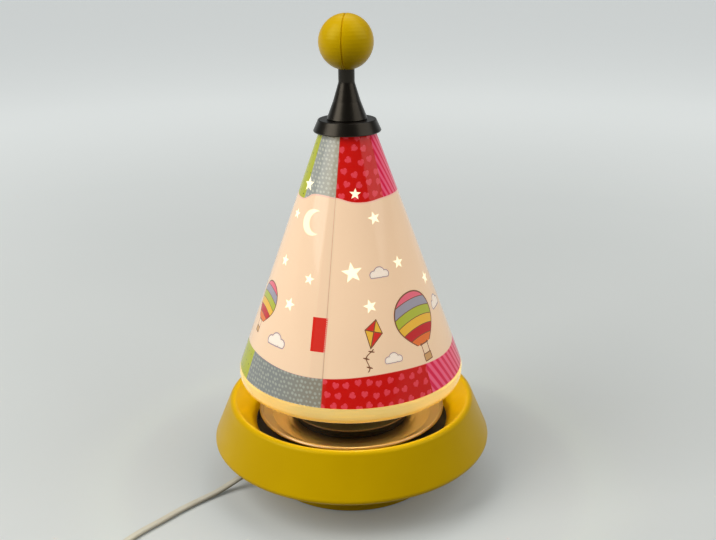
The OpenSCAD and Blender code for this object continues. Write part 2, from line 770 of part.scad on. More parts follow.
module cord_clamp() {
    color("ivory") rotate([0, 0, exit_turn]) difference() {
        translate([clamp_at - clamp_size.x / 2, -clamp_size.y / 2, plate_top_z]) cube(clamp_size);
        translate([clamp_at - 10, 0, exit_z]) rotate([90, 0, 90]) linear_extrude(20)
            stadium(cord_w + 2 * fit, cord_h + 2 * fit);
        for (side = [-1, 1]) translate([clamp_at, side * clamp_half, plate_top_z - 1])
            cylinder(r = clamp_screw_r + fit, h = clamp_size.z + 2, $fn = 32);
    }
}

module clamp_screws() {
    low = plate_z;
    top = plate_top_z + clamp_size.z;
    color("silver") for (side = [-1, 1]) clamp_screw_at(side) {
        translate([0, 0, low]) cylinder(r = clamp_screw_r, h = top - low, $fn = 32);
        difference() {
            translate([0, 0, top]) cylinder(r = 2.9, h = 2, $fn = 48);
            translate([0, 0, top + 2]) cube([4.4, 0.8, 1.6], center = true);
        }
    }
}

module holder_leads() {
    low = plate_top_z + block_size.z - 4 + fit;
    color("sienna") for (side = [-1, 1]) translate([side * lead_half, 0, low])
        cylinder(r = core_r, h = holder_low_z + 4 - low, $fn = 32);
}

// The cord's jacket through the strain relief and the clamp, and its two cores to the block.
module cord_end() {
    color("white") rotate([0, 0, exit_turn]) {
        translate([jacket_end, 0, exit_z]) rotate([90, 0, 90]) linear_extrude(relief_tip - jacket_end)
            stadium(cord_w, cord_h);
    }
    color("sienna") rotate([0, 0, exit_turn]) for (side = [-1, 1])
        translate([6, side * core_space, exit_z]) rotate([0, 90, 0]) cylinder(r = core_r, h = jacket_end - 6 - fit, $fn = 32);
}

module strain_relief() {
    start = relief_seat - relief_flange_t;
    taper_from = foot_top_r + 1;
    pitch = (relief_tip - taper_from - 4) / relief_grooves;
    color("white") difference() {
        union() {
            along_exit(start) cylinder(r = relief_flange_r, h = relief_flange_t);
            along_exit(start) cylinder(r = relief_r, h = taper_from - start);
            along_exit(taper_from) cylinder(r1 = relief_r, r2 = relief_tip_r, h = relief_tip - taper_from);
        }
        along_exit(start - 1) linear_extrude(relief_tip - start + 2) stadium(cord_w + 2 * fit, cord_h + 2 * fit);
        for (i = [0:relief_grooves - 1]) along_exit(taper_from + 1.5 + i * pitch)
            ring(relief_r + 1, relief_r - 1.1, pitch * 0.35);
    }
}

// ---- Rotor ----

module bearing_cup() {
    color("peru") rotate_extrude() polygon([
        [cup_mouth_r, cup_low_z], [cup_flange_r, cup_low_z], [cup_flange_r, cup_low_z + cup_flange_t],
        [cup_r, cup_low_z + cup_flange_t], [cup_r, cup_low_z + cup_flange_t + cup_h],
        [0, cup_low_z + cup_flange_t + cup_h], [0, cup_low_z + cup_depth]]);
}

module turbine() {
    cup_top = cup_low_z + cup_flange_t + cup_h;
    sunk = fit + turbine_ring_t / 2;
    top_z = turbine_z + turbine_h;
    color("whitesmoke") {
        difference() {
            translate([0, 0, hub_low_z]) cylinder(r = turbine_hub_r, h = cup_top + 2 - hub_low_z);
            translate([0, 0, hub_low_z - 1]) cylinder(r = cup_r + run, h = cup_top + fit - hub_low_z + 1);
        }
        rotate_extrude() polygon([
            [inner_r(turbine_z) - fit - turbine_ring_t, turbine_z], [inner_r(turbine_z) - fit, turbine_z],
            [inner_r(top_z) - fit, top_z], [inner_r(top_z) - fit - turbine_ring_t, top_z]]);
        intersection() {
            translate([0, 0, turbine_z])
                cylinder(r1 = inner_r(turbine_z) - sunk, r2 = inner_r(top_z) - sunk, h = turbine_h);
            around(blade_count, 0) translate([turbine_hub_r - 0.6, 0, turbine_z + turbine_h / 2])
                rotate([blade_slope, 0, 0]) translate([0, -blade_w / 2, -blade_t / 2])
                    cube([inner_r(turbine_z) - turbine_hub_r, blade_w, blade_t]);
        }
    }
}

// The moulded cone with its clear rim, which draws in to a lip at the bottom.
module shade_cone() {
    step_z = print_low_z - fit;
    rim_h = shade_low_z - rim_low_z;
    low_r = shade_low_r - rim_draw;
    outside = [
        [bare_r(shade_top_z), shade_top_z], [bare_r(step_z), step_z], [shade_r(step_z), step_z],
        [shade_low_r, shade_low_z], [shade_low_r + 0.1, shade_low_z - rim_h * 0.3],
        [shade_low_r - rim_draw * 0.12, shade_low_z - rim_h * 0.62],
        [shade_low_r - rim_draw * 0.45, shade_low_z - rim_h * 0.88], [low_r, rim_low_z]];
    inside = [
        [low_r - rim_lip, rim_low_z], [low_r - rim_lip, rim_low_z + shell_t],
        [low_r - 0.2, rim_low_z + shell_t * 1.3], [shade_low_r - shell_t * 1.6, shade_low_z - rim_h * 0.5],
        [inner_r(step_z), step_z], [inner_r(shade_top_z), shade_top_z]];
    color("linen", 0.6) rotate_extrude($fn = 2 * facets) polygon(concat(outside, inside));
}

module print_sleeve() {
    t = print_t / cos(shade_lean);
    color("mistyrose") rotate_extrude($fn = 2 * facets) polygon([
        [shade_r(print_low_z) - t, print_low_z], [shade_r(print_low_z), print_low_z],
        [shade_r(print_top_z), print_top_z], [shade_r(print_top_z) - t, print_top_z]]);
}

module top_spider() {
    sunk = fit + spider_t / 2;
    color("black") difference() {
        union() {
            rotate_extrude() polygon([
                [inner_r(spider_z) - fit - spider_t, spider_z], [inner_r(spider_z) - fit, spider_z],
                [inner_r(spider_top_z) - fit, spider_top_z], [inner_r(spider_top_z) - fit - spider_t, spider_top_z]]);
            translate([0, 0, spider_z - 2]) cylinder(r = spider_boss_r, h = flange_under_z - fit - spider_z + 2);
            intersection() {
                translate([0, 0, spider_z])
                    cylinder(r1 = inner_r(spider_z) - sunk, r2 = inner_r(spider_top_z) - sunk, h = spider_h);
                for (turn = [30, 150, 270]) rotate([0, 0, turn])
                    translate([spider_boss_r - 1, -spider_arm_w / 2, spider_z])
                        cube([inner_r(spider_z), spider_arm_w, spider_h * 0.7]);
            }
        }
        translate([0, 0, spider_z - 3]) cylinder(r = long_screw_r + run, h = flange_top_z - spider_z + 3, $fn = 48);
    }
}

module cap_flange() {
    color([0.08, 0.07, 0.06]) rotate_extrude() polygon(concat(
        [[spigot_r + fit, flange_top_z], [spigot_r + fit, flange_under_z],
         [flange_top_r - flange_t * 0.6, flange_under_z],
         [flange_low_r - flange_t * 0.75, flange_low_z], [flange_low_r - 0.4, flange_low_z],
         [flange_low_r, flange_low_z + 0.7]],
        arc([flange_top_r - 0.9, flange_top_z - 0.9], 0.9, 15, 90, 4)));
}

module cap_cone() {
    slope_z = cone_top_z - flange_top_z;
    color([0.08, 0.07, 0.06]) rotate_extrude() polygon([
        [long_screw_r + fit, flange_under_z + fit], [spigot_r, flange_under_z + fit], [spigot_r, flange_top_z],
        [cone_low_r - 0.3, flange_top_z], [cone_low_r, flange_top_z + 0.6],
        [(cone_low_r + cone_top_r) / 2 - 0.4, flange_top_z + slope_z / 2], [cone_top_r, cone_top_z],
        [neck_r, cone_top_z + 1], [neck_r, neck_head_z], [neck_head_r, neck_head_z],
        [neck_head_r, long_head_z], [long_screw_r + fit, long_head_z]]);
}

module long_screw() {
    low = spider_z - 1;
    color("silver") {
        translate([0, 0, low]) cylinder(r = long_screw_r, h = long_head_z - low, $fn = 48);
        difference() {
            translate([0, 0, long_head_z]) cylinder(r = long_head_r, h = long_head_h);
            translate([0, 0, long_head_z + long_head_h]) cube([long_head_r * 1.5, 1, 2.4], center = true);
        }
    }
}

// One half of the hollow ball, cut along an upright plane, with a flat floor round the neck.
module ball_half(turn) {
    in_r = ball_r - ball_t;
    hole_r = neck_r + air;
    floor_z = ball_floor_z - ball_z;
    floor_in_r = sqrt(pow(in_r, 2) - pow(floor_z, 2));
    hole_a = -acos(hole_r / ball_r);
    outline = concat(
        arc([0, ball_z], ball_r, hole_a, 90, 20),
        arc([0, ball_z], in_r, 90, -acos(floor_in_r / in_r), 16),
        [[hole_r, ball_floor_z]]);
    difference() {
        union() {
            rotate([0, 0, turn]) rotate_extrude(angle = 180) polygon(outline);
            rotate([0, 0, turn + 90]) intersection() {
                translate([0, 0, ball_z + dowel_rise]) rotate([0, 90, 0]) cylinder(r = dowel_boss_r, h = in_r - 0.5);
                translate([0, 0, ball_z]) sphere(r = in_r + 0.5);
            }
        }
        translate([0, 0, ball_z + dowel_rise]) rotate([0, 90, turn + 90])
            translate([0, 0, -dowel_len / 2 - fit]) cylinder(r = dowel_r + run, h = dowel_len + 2 * fit, $fn = 48);
        translate([0, 0, ball_z]) rotate([90, 0, turn]) rotate_extrude() translate([ball_r, 0])
            polygon([[-parting_groove, 0], [0.6, -parting_groove - 0.3], [0.6, parting_groove + 0.3]]);
    }
}

module ball_left() {
    color("gold") ball_half(90 - parting);
}

module ball_right() {
    color("gold") ball_half(270 - parting);
}

module ball_dowel() {
    color("silver") translate([0, 0, ball_z + dowel_rise]) rotate([0, 90, -parting])
        translate([0, 0, -dowel_len / 2]) cylinder(r = dowel_r, h = dowel_len, $fn = 48);
}

// ---- Cord ----

floor_z = cord_h / 2 + 0.1;
coil_z = cord_h / 2 + tie_t + 0.3;
coil_c = [-24, -156];
coil_turns = 7 + 15 / 360;
coil_rings = 24;
coil_from = 270;
coil_out_r = coil_in_r + coil_step * coil_turns / 2;
port_z = 6.5;
switch_c = [-105, -181];

// The wound turns spiral in on the lower layer, climb at the middle, and spiral out on the upper one.
function coil_point(i) =
    let (u = i / coil_rings, a = coil_from + 360 * u, past = u - coil_turns / 2,
         r = coil_in_r + coil_step * abs(past), climb = min(max(past / 0.5 + 0.5, 0), 1))
    [coil_c.x + r * cos(a), coil_c.y + r * sin(a), coil_z + layer_step * climb];
coil_last = round(coil_turns * coil_rings);
coil_out_dir = [cos(coil_from + 90 + 360 * coil_turns), sin(coil_from + 90 + 360 * coil_turns), 0];
coil_start = coil_point(0) - [cord_w, 0, 0];
coil_end = coil_point(coil_last) + cord_w * coil_out_dir;
coil_route = concat([coil_start], [for (i = [0:coil_last]) coil_point(i)], [coil_end]);

// The route from the strain relief to the switch, chosen by hand.
lamp_route = concat(
    [for (d = [0, 3.4]) exit_dir * (relief_tip + d) + [0, 0, exit_z]],
    [[-94.6, -36, 4.9], [-103.6, -42.4, 2.4], [-114, -51, floor_z], [-127, -63.5, floor_z], [-139, -77, floor_z],
     [-151, -90, floor_z], [-161, -104, floor_z], [-168, -119, floor_z], [-171, -134, floor_z],
     [-169, -149, floor_z], [-163, -162, floor_z], [-155, -171, 2.6], [-146, -178, 5]],
    [for (d = [cord_w, 0]) [switch_c.x - switch_len / 2 - d, switch_c.y, port_z]]);

// The route from the switch to the coil.
switch_route = concat(
    [for (d = [0, cord_w]) [switch_c.x + switch_len / 2 + d, switch_c.y, port_z]],
    [[-62, -183, 4.2], [-53, -188, coil_z], [-43, -194, coil_z]],
    [[coil_point(0).x - 2 * cord_w, coil_point(0).y, coil_z], coil_start]);

// The route from the coil to the plug.
plug_dir = coil_out_dir;
plug_at = [46, -180, plug_h / 2 + 0.05];
plug_route = concat(
    [coil_end, coil_end + cord_w * coil_out_dir],
    [[7, -191, 4.4], [16, -188.5, 2.2], [24, -186.5, floor_z], [32, -184, 3.4]],
    [for (d = [cord_w, 0]) plug_at - d * plug_dir]);

function heading(p, i) = unit(p[min(i + 1, len(p) - 1)] - p[max(i - 1, 0)]);
function oval(c, t, n) =
    let (side = unit(cross([0, 0, 1], t)), up = cross(t, side))
    [for (k = [0:n - 1]) c + side * cord_w / 2 * cos(360 * k / n) + up * cord_h / 2 * sin(360 * k / n)];
function tube_points(p, n) = [for (i = [0:len(p) - 1]) each oval(p[i], heading(p, i), n)];

module tube(p, n) {
    last = len(p) - 1;
    walls = [for (i = [0:last - 1], k = [0:n - 1])
        let (a = i * n + k, b = i * n + (k + 1) % n) each [[a, a + n, b + n], [a, b + n, b]]];
    ends = [for (k = [1:n - 2]) each [[0, k, k + 1], [last * n, last * n + k + 1, last * n + k]]];
    polyhedron(tube_points(p, n), concat(walls, ends));
}

// The least distance between the points of rings that are over half a turn apart.
coil_points = tube_points(coil_route, 6);
coil_gap = min([for (i = [0:coil_last - coil_rings + 2])
    for (j = [i + coil_rings - 2:min(coil_last + 2, i + 3 * coil_rings)])
        if (abs((j - i + 2) % coil_rings) <= 4)
            for (a = [0:5], b = [0:5]) norm(coil_points[i * 6 + a] - coil_points[j * 6 + b])]);

function route_len(p) = len(p) < 2 ? 0 : [for (i = 1, s = norm(p[1] - p[0]); i < len(p);
    i = i + 1, s = i < len(p) ? s + norm(p[i] - p[i - 1]) : s) s][len(p) - 2];

module cord_lamp_run() {
    color("white") tube(lamp_route, 10);
}

module cord_switch_run() {
    color("white") tube(switch_route, 10);
}

module cord_coil() {
    echo(coil_gap = coil_gap, coil_len = route_len(coil_route));
    echo(cord_len = route_len(lamp_route) + switch_len + route_len(switch_route)
        + route_len(coil_route) + route_len(plug_route));
    color("white") tube(coil_route, 6);
}

module cord_plug_run() {
    color("white") tube(plug_route, 10);
}

// A strap round the bundle of turns.
module coil_tie() {
    low_r = sqrt(pow(coil_in_r - cord_w / 2, 2) - pow(tie_w / 2, 2)) - air;
    high_r = coil_out_r + cord_w / 2 + air;
    bundle_h = cord_h + layer_step + 2 * air;
    color("dimgray") translate([coil_c.x, coil_c.y, 0]) rotate([0, 0, tie_turn])
        translate([(low_r + high_r) / 2, tie_w / 2, coil_z - cord_h / 2 - 0.25 + bundle_h / 2])
            rotate([90, 0, 0]) linear_extrude(tie_w) difference() {
                rounded(high_r - low_r + 2 * tie_t, bundle_h + 2 * tie_t - 0.1, 2);
                rounded(high_r - low_r, bundle_h - 0.1, 2 - tie_t);
            }
}

// ---- Switch on the cord ----

module at_switch() {
    translate([switch_c.x, switch_c.y, 0]) children();
}

rocker_z = switch_low_h + switch_up_h - 3.4;
switch_foot = 0.3;
post_half = switch_len / 2 - 10;

module cord_port(extra) {
    for (side = [-1, 1]) translate([side * (switch_len / 2 - 8), 0, port_z]) rotate([90, 0, 90])
        translate([0, 0, -9]) linear_extrude(18) stadium(cord_w + extra, cord_h + extra);
}

module switch_lower() {
    color("white") at_switch() difference() {
        union() {
            difference() {
                translate([0, 0, switch_foot]) linear_extrude(switch_low_h - switch_foot)
                    rounded(switch_len, switch_w, switch_round);
                translate([0, 0, switch_t + switch_foot]) linear_extrude(switch_low_h)
                    rounded(switch_len - 2 * switch_t, switch_w - 2 * switch_t, switch_round - switch_t);
            }
            for (side = [-1, 1]) translate([side * post_half, switch_w / 2 - 6.5, switch_foot])
                cylinder(r = 3, h = switch_low_h - switch_foot, $fn = 48);
        }
        for (side = [-1, 1]) translate([side * post_half, switch_w / 2 - 6.5, -1])
            cylinder(r = 1.3 + fit, h = switch_low_h + 2, $fn = 32);
        for (side = [-1, 1]) translate([side * post_half, switch_w / 2 - 6.5, -1])
            cylinder(r = 2.3, h = 3, $fn = 32);
        cord_port(0);
    }
}

module switch_upper() {
    top = switch_low_h + switch_up_h;
    color("white") at_switch() difference() {
        union() {
            difference() {
                union() {
                    translate([0, 0, switch_low_h]) linear_extrude(switch_up_h - 1.2)
                        rounded(switch_len, switch_w, switch_round);
                    translate([0, 0, top - 1.2]) linear_extrude(1.2)
                        rounded(switch_len - 2.4, switch_w - 2.4, switch_round - 1.2);
                }
                translate([0, 0, switch_low_h - 1]) linear_extrude(switch_up_h + 1 - switch_t)
                    rounded(switch_len - 2 * switch_t, switch_w - 2 * switch_t, switch_round - switch_t);
            }
            for (side = [-1, 1]) translate([side * post_half, switch_w / 2 - 6.5, switch_low_h])
                cylinder(r = 3, h = switch_up_h - 1, $fn = 48);
            for (side = [-1, 1]) translate([-3, side * (rocker_w / 2 + air + 1) - 1, rocker_z - 2.4])
                cube([6, 2, top - 1 - rocker_z + 2.4]);
        }
        translate([0, 0, switch_low_h]) linear_extrude(switch_up_h + 1)
            square([rocker_len + 1.6, rocker_w + 2 * air], center = true);
        translate([0, -switch_w / 2, rocker_z]) rotate([-90, 0, 0])
            translate([0, 0, switch_w / 2 - rocker_w / 2 - 2.2]) cylinder(r = rocker_pin_r + fit, h = rocker_w + 4.4, $fn = 32);
        for (side = [-1, 1]) translate([side * post_half, switch_w / 2 - 6.5, switch_low_h - 1])
            cylinder(r = 1.3 + run, h = switch_up_h - 1.4, $fn = 32);
        cord_port(0);
    }
}

module switch_rocker() {
    half = rocker_len / 2;
    color("lightgray") at_switch() translate([0, 0, rocker_z]) rotate([0, -rocker_tilt, 0]) rotate([90, 0, 0])
        difference() {
            translate([0, 0, -rocker_w / 2]) linear_extrude(rocker_w) polygon(concat(
                [[-half + 0.6, -0.6], [-half, rocker_rise], [-half * 0.5, rocker_rise - 0.9],
                 [0, rocker_rise - 1.2], [half * 0.5, rocker_rise - 0.9], [half, rocker_rise], [half - 0.6, -0.6]],
                arc([0, 0], 2.2, -16, -164, 12)));
            translate([0, 0, -rocker_w]) cylinder(r = rocker_pin_r + run, h = 2 * rocker_w, $fn = 48);
        }
}

module rocker_pin() {
    color("silver") at_switch() translate([0, 0, rocker_z]) rotate([90, 0, 0])
        translate([0, 0, -rocker_w / 2 - 2]) cylinder(r = rocker_pin_r, h = rocker_w + 4, $fn = 48);
}

module switch_contacts() {
    low = switch_t + switch_foot;
    color("peru") at_switch() for (side = [-1, 1]) {
        translate([side * 11, 0, low + 0.4]) cube([12, 5, 0.8], center = true);
        translate([side * 5.4, 0, low + 2]) cube([0.8, 5, 4], center = true);
        translate([side * 14, 0, low + 0.6]) cylinder(r = 2, h = 2.4, $fn = 32);
    }
}

module switch_screws() {
    color("silver") at_switch() for (side = [-1, 1]) translate([side * post_half, switch_w / 2 - 6.5, 0]) {
        translate([0, 0, 2]) cylinder(r = 1.3, h = switch_low_h + switch_up_h - 5, $fn = 32);
        translate([0, 0, 0.5]) cylinder(r = 2.2, h = 1.5, $fn = 32);
    }
}

// ---- Plug ----

plug_turn = atan2(plug_dir.y, plug_dir.x);

module at_plug() {
    translate(plug_at) rotate([0, 0, plug_turn]) rotate([90, 0, 90]) children();
}

module plug_slab(z, w, h, t) {
    translate([0, 0, z]) linear_extrude(t) rounded(w, h, h * 0.36, $fn = 32);
}

module plug_body() {
    face = 4;
    color("white") at_plug() difference() {
        union() {
            hull() {
                plug_slab(0, 8.6, 7.4, 1);
                plug_slab(plug_len * 0.38, 16, plug_h - 2.2, 1);
            }
            hull() {
                plug_slab(plug_len * 0.38, 16, plug_h - 2.2, 1);
                plug_slab(plug_len - face, plug_w - 1.6, plug_h - 0.8, 1);
            }
            hull() {
                plug_slab(plug_len - face, plug_w, plug_h, face - 1);
                plug_slab(plug_len - 1, plug_w - 1.4, plug_h - 1.4, 1);
            }
        }
        for (side = [-1, 1]) translate([side * pin_space / 2, 0, plug_len - 8])
            cylinder(r = pin_r + run, h = 20, $fn = 48);
    }
}

module plug_pins() {
    color("silver") at_plug() for (side = [-1, 1]) translate([side * pin_space / 2, 0, 0]) {
        translate([0, 0, plug_len - 8 + fit]) cylinder(r = pin_r - 0.3, h = pin_sleeve_len + 8 - fit, $fn = 48);
        translate([0, 0, plug_len + pin_sleeve_len]) cylinder(r = pin_r, h = pin_len - pin_sleeve_len - 1, $fn = 48);
        translate([0, 0, plug_len + pin_len - 1]) cylinder(r1 = pin_r, r2 = pin_r - 0.8, h = 1, $fn = 48);
    }
}

module plug_sleeves() {
    color("whitesmoke") at_plug() for (side = [-1, 1]) translate([side * pin_space / 2, 0, plug_len - 4])
        ring(pin_r - 0.05, pin_r - 0.3 + run, pin_sleeve_len + 4 - fit);
}

base_ring();
foot_shell();
bottom_plate();
bottom_screws();
rubber_feet();
well_liner();
dish();
dish_spacers();
dish_screws();
hub_plate();
lampholder();
holder_ring_nuts();
holder_sleeve();
holder_contact();
bulb_glass();
bulb_cap();
bulb_stem();
bulb_filament();
needle_bridge();
bridge_nuts();
needle_ferrule();
needle();
terminal_block();
terminal_screws();
cord_clamp();
clamp_screws();
holder_leads();
cord_end();
strain_relief();
bearing_cup();
turbine();
shade_cone();
print_sleeve();
top_spider();
cap_flange();
cap_cone();
long_screw();
ball_left();
ball_right();
ball_dowel();
cord_lamp_run();
cord_switch_run();
cord_coil();
cord_plug_run();
coil_tie();
switch_lower();
switch_upper();
switch_rocker();
rocker_pin();
switch_contacts();
switch_screws();
plug_body();
plug_pins();
plug_sleeves();
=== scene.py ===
# %% [markdown]
# # A rotating motion lamp
# This lesson dresses a table lamp whose parts were drawn in CAD. The lamp has a round plastic base with a
# metal dish, a bulb on a black hub, and a printed cone that the bulb's warm air turns on a needle.
# The CAD model arrives as a fixed frame: its parts keep their places and shapes, and this file gives
# them their finishes and adds the lead, its strap, the floor, the light and the camera.

# %% The frame
import json
import math
import bmesh
import bpy
from mathutils import Matrix, Vector


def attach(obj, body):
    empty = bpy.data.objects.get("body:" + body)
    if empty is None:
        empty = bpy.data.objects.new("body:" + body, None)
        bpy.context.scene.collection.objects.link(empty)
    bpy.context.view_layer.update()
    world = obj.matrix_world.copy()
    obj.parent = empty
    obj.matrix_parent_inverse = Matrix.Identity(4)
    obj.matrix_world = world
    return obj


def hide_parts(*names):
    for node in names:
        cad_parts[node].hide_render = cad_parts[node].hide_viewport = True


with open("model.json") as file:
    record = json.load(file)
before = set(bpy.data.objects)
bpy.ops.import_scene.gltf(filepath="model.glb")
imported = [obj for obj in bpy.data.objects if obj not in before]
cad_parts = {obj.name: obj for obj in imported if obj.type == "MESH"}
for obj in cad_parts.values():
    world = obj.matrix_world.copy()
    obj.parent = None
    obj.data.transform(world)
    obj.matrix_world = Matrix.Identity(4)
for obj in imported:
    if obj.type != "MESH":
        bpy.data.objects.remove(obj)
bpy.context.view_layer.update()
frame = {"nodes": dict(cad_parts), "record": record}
MM = 0.001

# %% [markdown]
# ## The camera
# The photograph looks a little down on the lamp from close by. Its place and tilt were found by matching
# the ellipses of the base and the shade. A track-to constraint would be shorter, but it would lose the
# small roll, so the three directions are written out.

# %% The camera's place
CAMERA_AT = Vector((0, -647.6, 394.8)) * MM
DOWN, ASIDE, ROLLED = (math.radians(a) for a in (19.594, 0.561, -0.697))
SENSOR_WIDE, FOCAL_PIXELS, PICTURE_PIXELS = 36, 927.2, 716
ahead = Vector((math.sin(ASIDE) * math.cos(DOWN), math.cos(ASIDE) * math.cos(DOWN), -math.sin(DOWN)))
level_right = Vector((math.cos(ASIDE), -math.sin(ASIDE), 0))
right = math.cos(ROLLED) * level_right + math.sin(ROLLED) * level_right.cross(ahead)
above = right.cross(ahead)

camera = bpy.data.objects.new("camera", bpy.data.cameras.new("camera"))
bpy.context.collection.objects.link(camera)
camera.data.sensor_width = SENSOR_WIDE
camera.data.lens = SENSOR_WIDE * FOCAL_PIXELS / PICTURE_PIXELS
camera.data.clip_start, camera.data.clip_end = 0.02, 60
turned = Matrix((right, above, -ahead)).transposed().to_4x4()
camera.matrix_world = Matrix.Translation(CAMERA_AT) @ turned
bpy.context.scene.camera = camera
bpy.context.scene.view_settings.view_transform = "Standard"
print("lens in mm:", round(camera.data.lens, 2))

# %% [markdown]
# ## The cord's route
# The mains lead is a flat two-core cord, 5.2 mm wide and 3.4 mm high. It leaves the foot at the left,
# drops to the table, runs forward to a hand switch and ends in a small coil and a plug just below the
# picture. The points are those of the CAD part, in millimetres. Only the coil is worked out, as a spiral
# that closes in its lower layer and opens again in its upper one.

# %% The points of the route
CORD_WIDE, CORD_HIGH = 5.2, 3.4
EXIT_TURN, PLUG_TURN = math.radians(200), math.radians(15)
EXIT_HIGH, LYING, COIL_LOW, PORT_HIGH = 9.5, 1.8, 2.6, 6.5
COIL_AT, COIL_IN, COIL_STEP, LAYER = Vector((-24, -156, 0)), 21, 5.7, 3.9
TURNS, PER_TURN, COIL_START = 7 + 15 / 360, 24, 270
STUB = 5.2

def coil_point(i):
    turn = math.radians(COIL_START + 360 * i / PER_TURN)
    past = i / PER_TURN - TURNS / 2
    radius = COIL_IN + COIL_STEP * abs(past)
    climb = min(max(past / 0.5 + 0.5, 0), 1)
    return COIL_AT + Vector((radius * math.cos(turn), radius * math.sin(turn), COIL_LOW + LAYER * climb))

def spots(*places):
    return [Vector(place) for place in places]

exit_way = Vector((math.cos(EXIT_TURN), math.sin(EXIT_TURN), 0))
plug_way = Vector((math.cos(PLUG_TURN), math.sin(PLUG_TURN), 0))
plug_at = Vector((46, -180, 6.9))
to_switch = [exit_way * out + Vector((0, 0, EXIT_HIGH)) for out in (85.1, 88.9)] + spots(
    (-94.6, -36, 4.9), (-103.6, -42.4, 2.4), (-114, -51, LYING), (-127, -63.5, LYING),
    (-139, -77, LYING), (-151, -90, LYING), (-161, -104, LYING), (-168, -119, LYING),
    (-171, -134, LYING), (-169, -149, LYING), (-163, -162, LYING), (-155, -171, 2.6),
    (-146, -178, 5), (-139.2, -181, PORT_HIGH), (-134, -181, PORT_HIGH))
to_coil = spots((-76, -181, PORT_HIGH), (-70.8, -181, PORT_HIGH), (-62, -183, 4.2), (-53, -188, COIL_LOW),
                (-43, -194, COIL_LOW)) + [coil_point(0) - Vector((STUB * n, 0, 0)) for n in (2, 1)]
wound = [coil_point(i) for i in range(round(TURNS * PER_TURN) + 1)]
to_plug = [wound[-1] + plug_way * STUB * n for n in (1, 2)] + spots(
    (7, -191, 4.4), (16, -188.5, 2.2), (24, -186.5, LYING), (32, -184, 3.4))
to_plug += [plug_at - plug_way * STUB, plug_at]
route = to_switch + to_coil + wound + to_plug
print("points on the route:", len(route))

# %% [markdown]
# A cord is one smooth bend after another, so the points become a Catmull-Rom curve, which passes through
# each of them. A Bezier curve would need handles that nobody has measured. The curve may not sink into
# the table nor run further forward than the coil, so both are held back at the end.

# %% Smoothing the route
def smoothed(points, parts):
    line = []
    for i in range(len(points) - 1):
        a, b, c, d = (points[min(max(i + k, 0), len(points) - 1)] for k in (-1, 0, 1, 2))
        for k in range(parts):
            t = k / parts
            line.append(0.5 * (2 * b + (c - a) * t + (2 * a - 5 * b + 4 * c - d) * t * t
                               + (3 * b - a - 3 * c + d) * t * t * t))
    return line + [points[-1]]

FRONT_LIMIT = coil_point(0).y
cord_line = [Vector((p.x, max(p.y, FRONT_LIMIT), max(p.z, LYING))) * MM for p in smoothed(route, 3)]
cord_length = sum((b - a).length for a, b in zip(cord_line, cord_line[1:]))
print("cord length in metres:", round(cord_length, 3))

# %% [markdown]
# ## A tube along a line
# A curve object with a round bevel would be the usual cord. This one is flat, and it has to lie on its
# flat side all the way, so one ring is extruded from point to point instead. Each ring stands across the
# line, with its wide side level.

# %% Growing a tube along a line
def put_in_order(bm):
    """An extrusion hands out edges and faces in another order each run, so they are sorted by their points."""
    bm.verts.index_update()
    for elements in (bm.edges, bm.faces):
        in_order = sorted(elements, key=lambda element: sorted(v.index for v in element.verts))
        for i, element in enumerate(in_order):
            element.index = i
        elements.sort()

def new_piece(name, bm):
    bmesh.ops.recalc_face_normals(bm, faces=bm.faces)
    put_in_order(bm)
    for face in bm.faces:
        face.smooth = True
    mesh = bpy.data.meshes.new(name)
    bm.to_mesh(mesh)
    bm.free()
    piece = bpy.data.objects.new(name, mesh)
    bpy.context.collection.objects.link(piece)
    return piece

def next_ring(bm, edges):
    """Extrudes a ring of edges once. Gives the new points and the new ring."""
    grown = bmesh.ops.extrude_edge_only(bm, edges=edges)["geom"]
    verts = [g for g in grown if isinstance(g, bmesh.types.BMVert)]
    ring = [g for g in grown if isinstance(g, bmesh.types.BMEdge) and all(v in verts for v in g.verts)]
    return verts, ring

def section_frames(line, across=None):
    frames = []
    for i, point in enumerate(line):
        way = (line[min(i + 1, len(line) - 1)] - line[max(i - 1, 0)]).normalized()
        side = (across or Vector((0, 0, 1)).cross(way)).normalized()
        turned = Matrix((side, way.cross(side), way)).transposed().to_4x4()
        frames.append(Matrix.Translation(point) @ turned)
    return frames

def grow_tube(bm, line, wide, high, sides=16, across=None):
    """A flat-sided oval tube: two half circles with a straight part between them."""
    rim = bmesh.ops.create_circle(bm, cap_ends=True, radius=high / 2, segments=sides)["verts"]
    bmesh.ops.rotate(bm, verts=rim, cent=(0, 0, 0), matrix=Matrix.Rotation(math.pi / sides, 3, "Z"))
    for v in rim:
        v.co.x += math.copysign((wide - high) / 2, v.co.x)
    frames = section_frames(line, across)
    bmesh.ops.transform(bm, matrix=frames[0], verts=rim)
    ring = list({e for v in rim for e in v.link_edges})
    for old, new in zip(frames, frames[1:]):
        verts, ring = next_ring(bm, ring)
        bmesh.ops.transform(bm, matrix=new @ old.inverted(), verts=verts)
    bmesh.ops.holes_fill(bm, edges=ring)

# %% The cord itself
bm = bmesh.new()
grow_tube(bm, cord_line, CORD_WIDE * MM, CORD_HIGH * MM)
lead_cord = new_piece("lead_cord", bm)
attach(lead_cord, "base")
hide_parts("cord_lamp_run", "cord_switch_run", "cord_coil", "cord_plug_run")
print("cord faces:", len(lead_cord.data.polygons))

# %% [markdown]
# The coil is held by a hook-and-loop strap. A torus would do from afar, but a real strap is a band that
# goes once round the bundle and ends on itself. So it is grown along a rounded rectangle with the same
# tube tool, its width kept along the cord, and its last part rises onto its start.

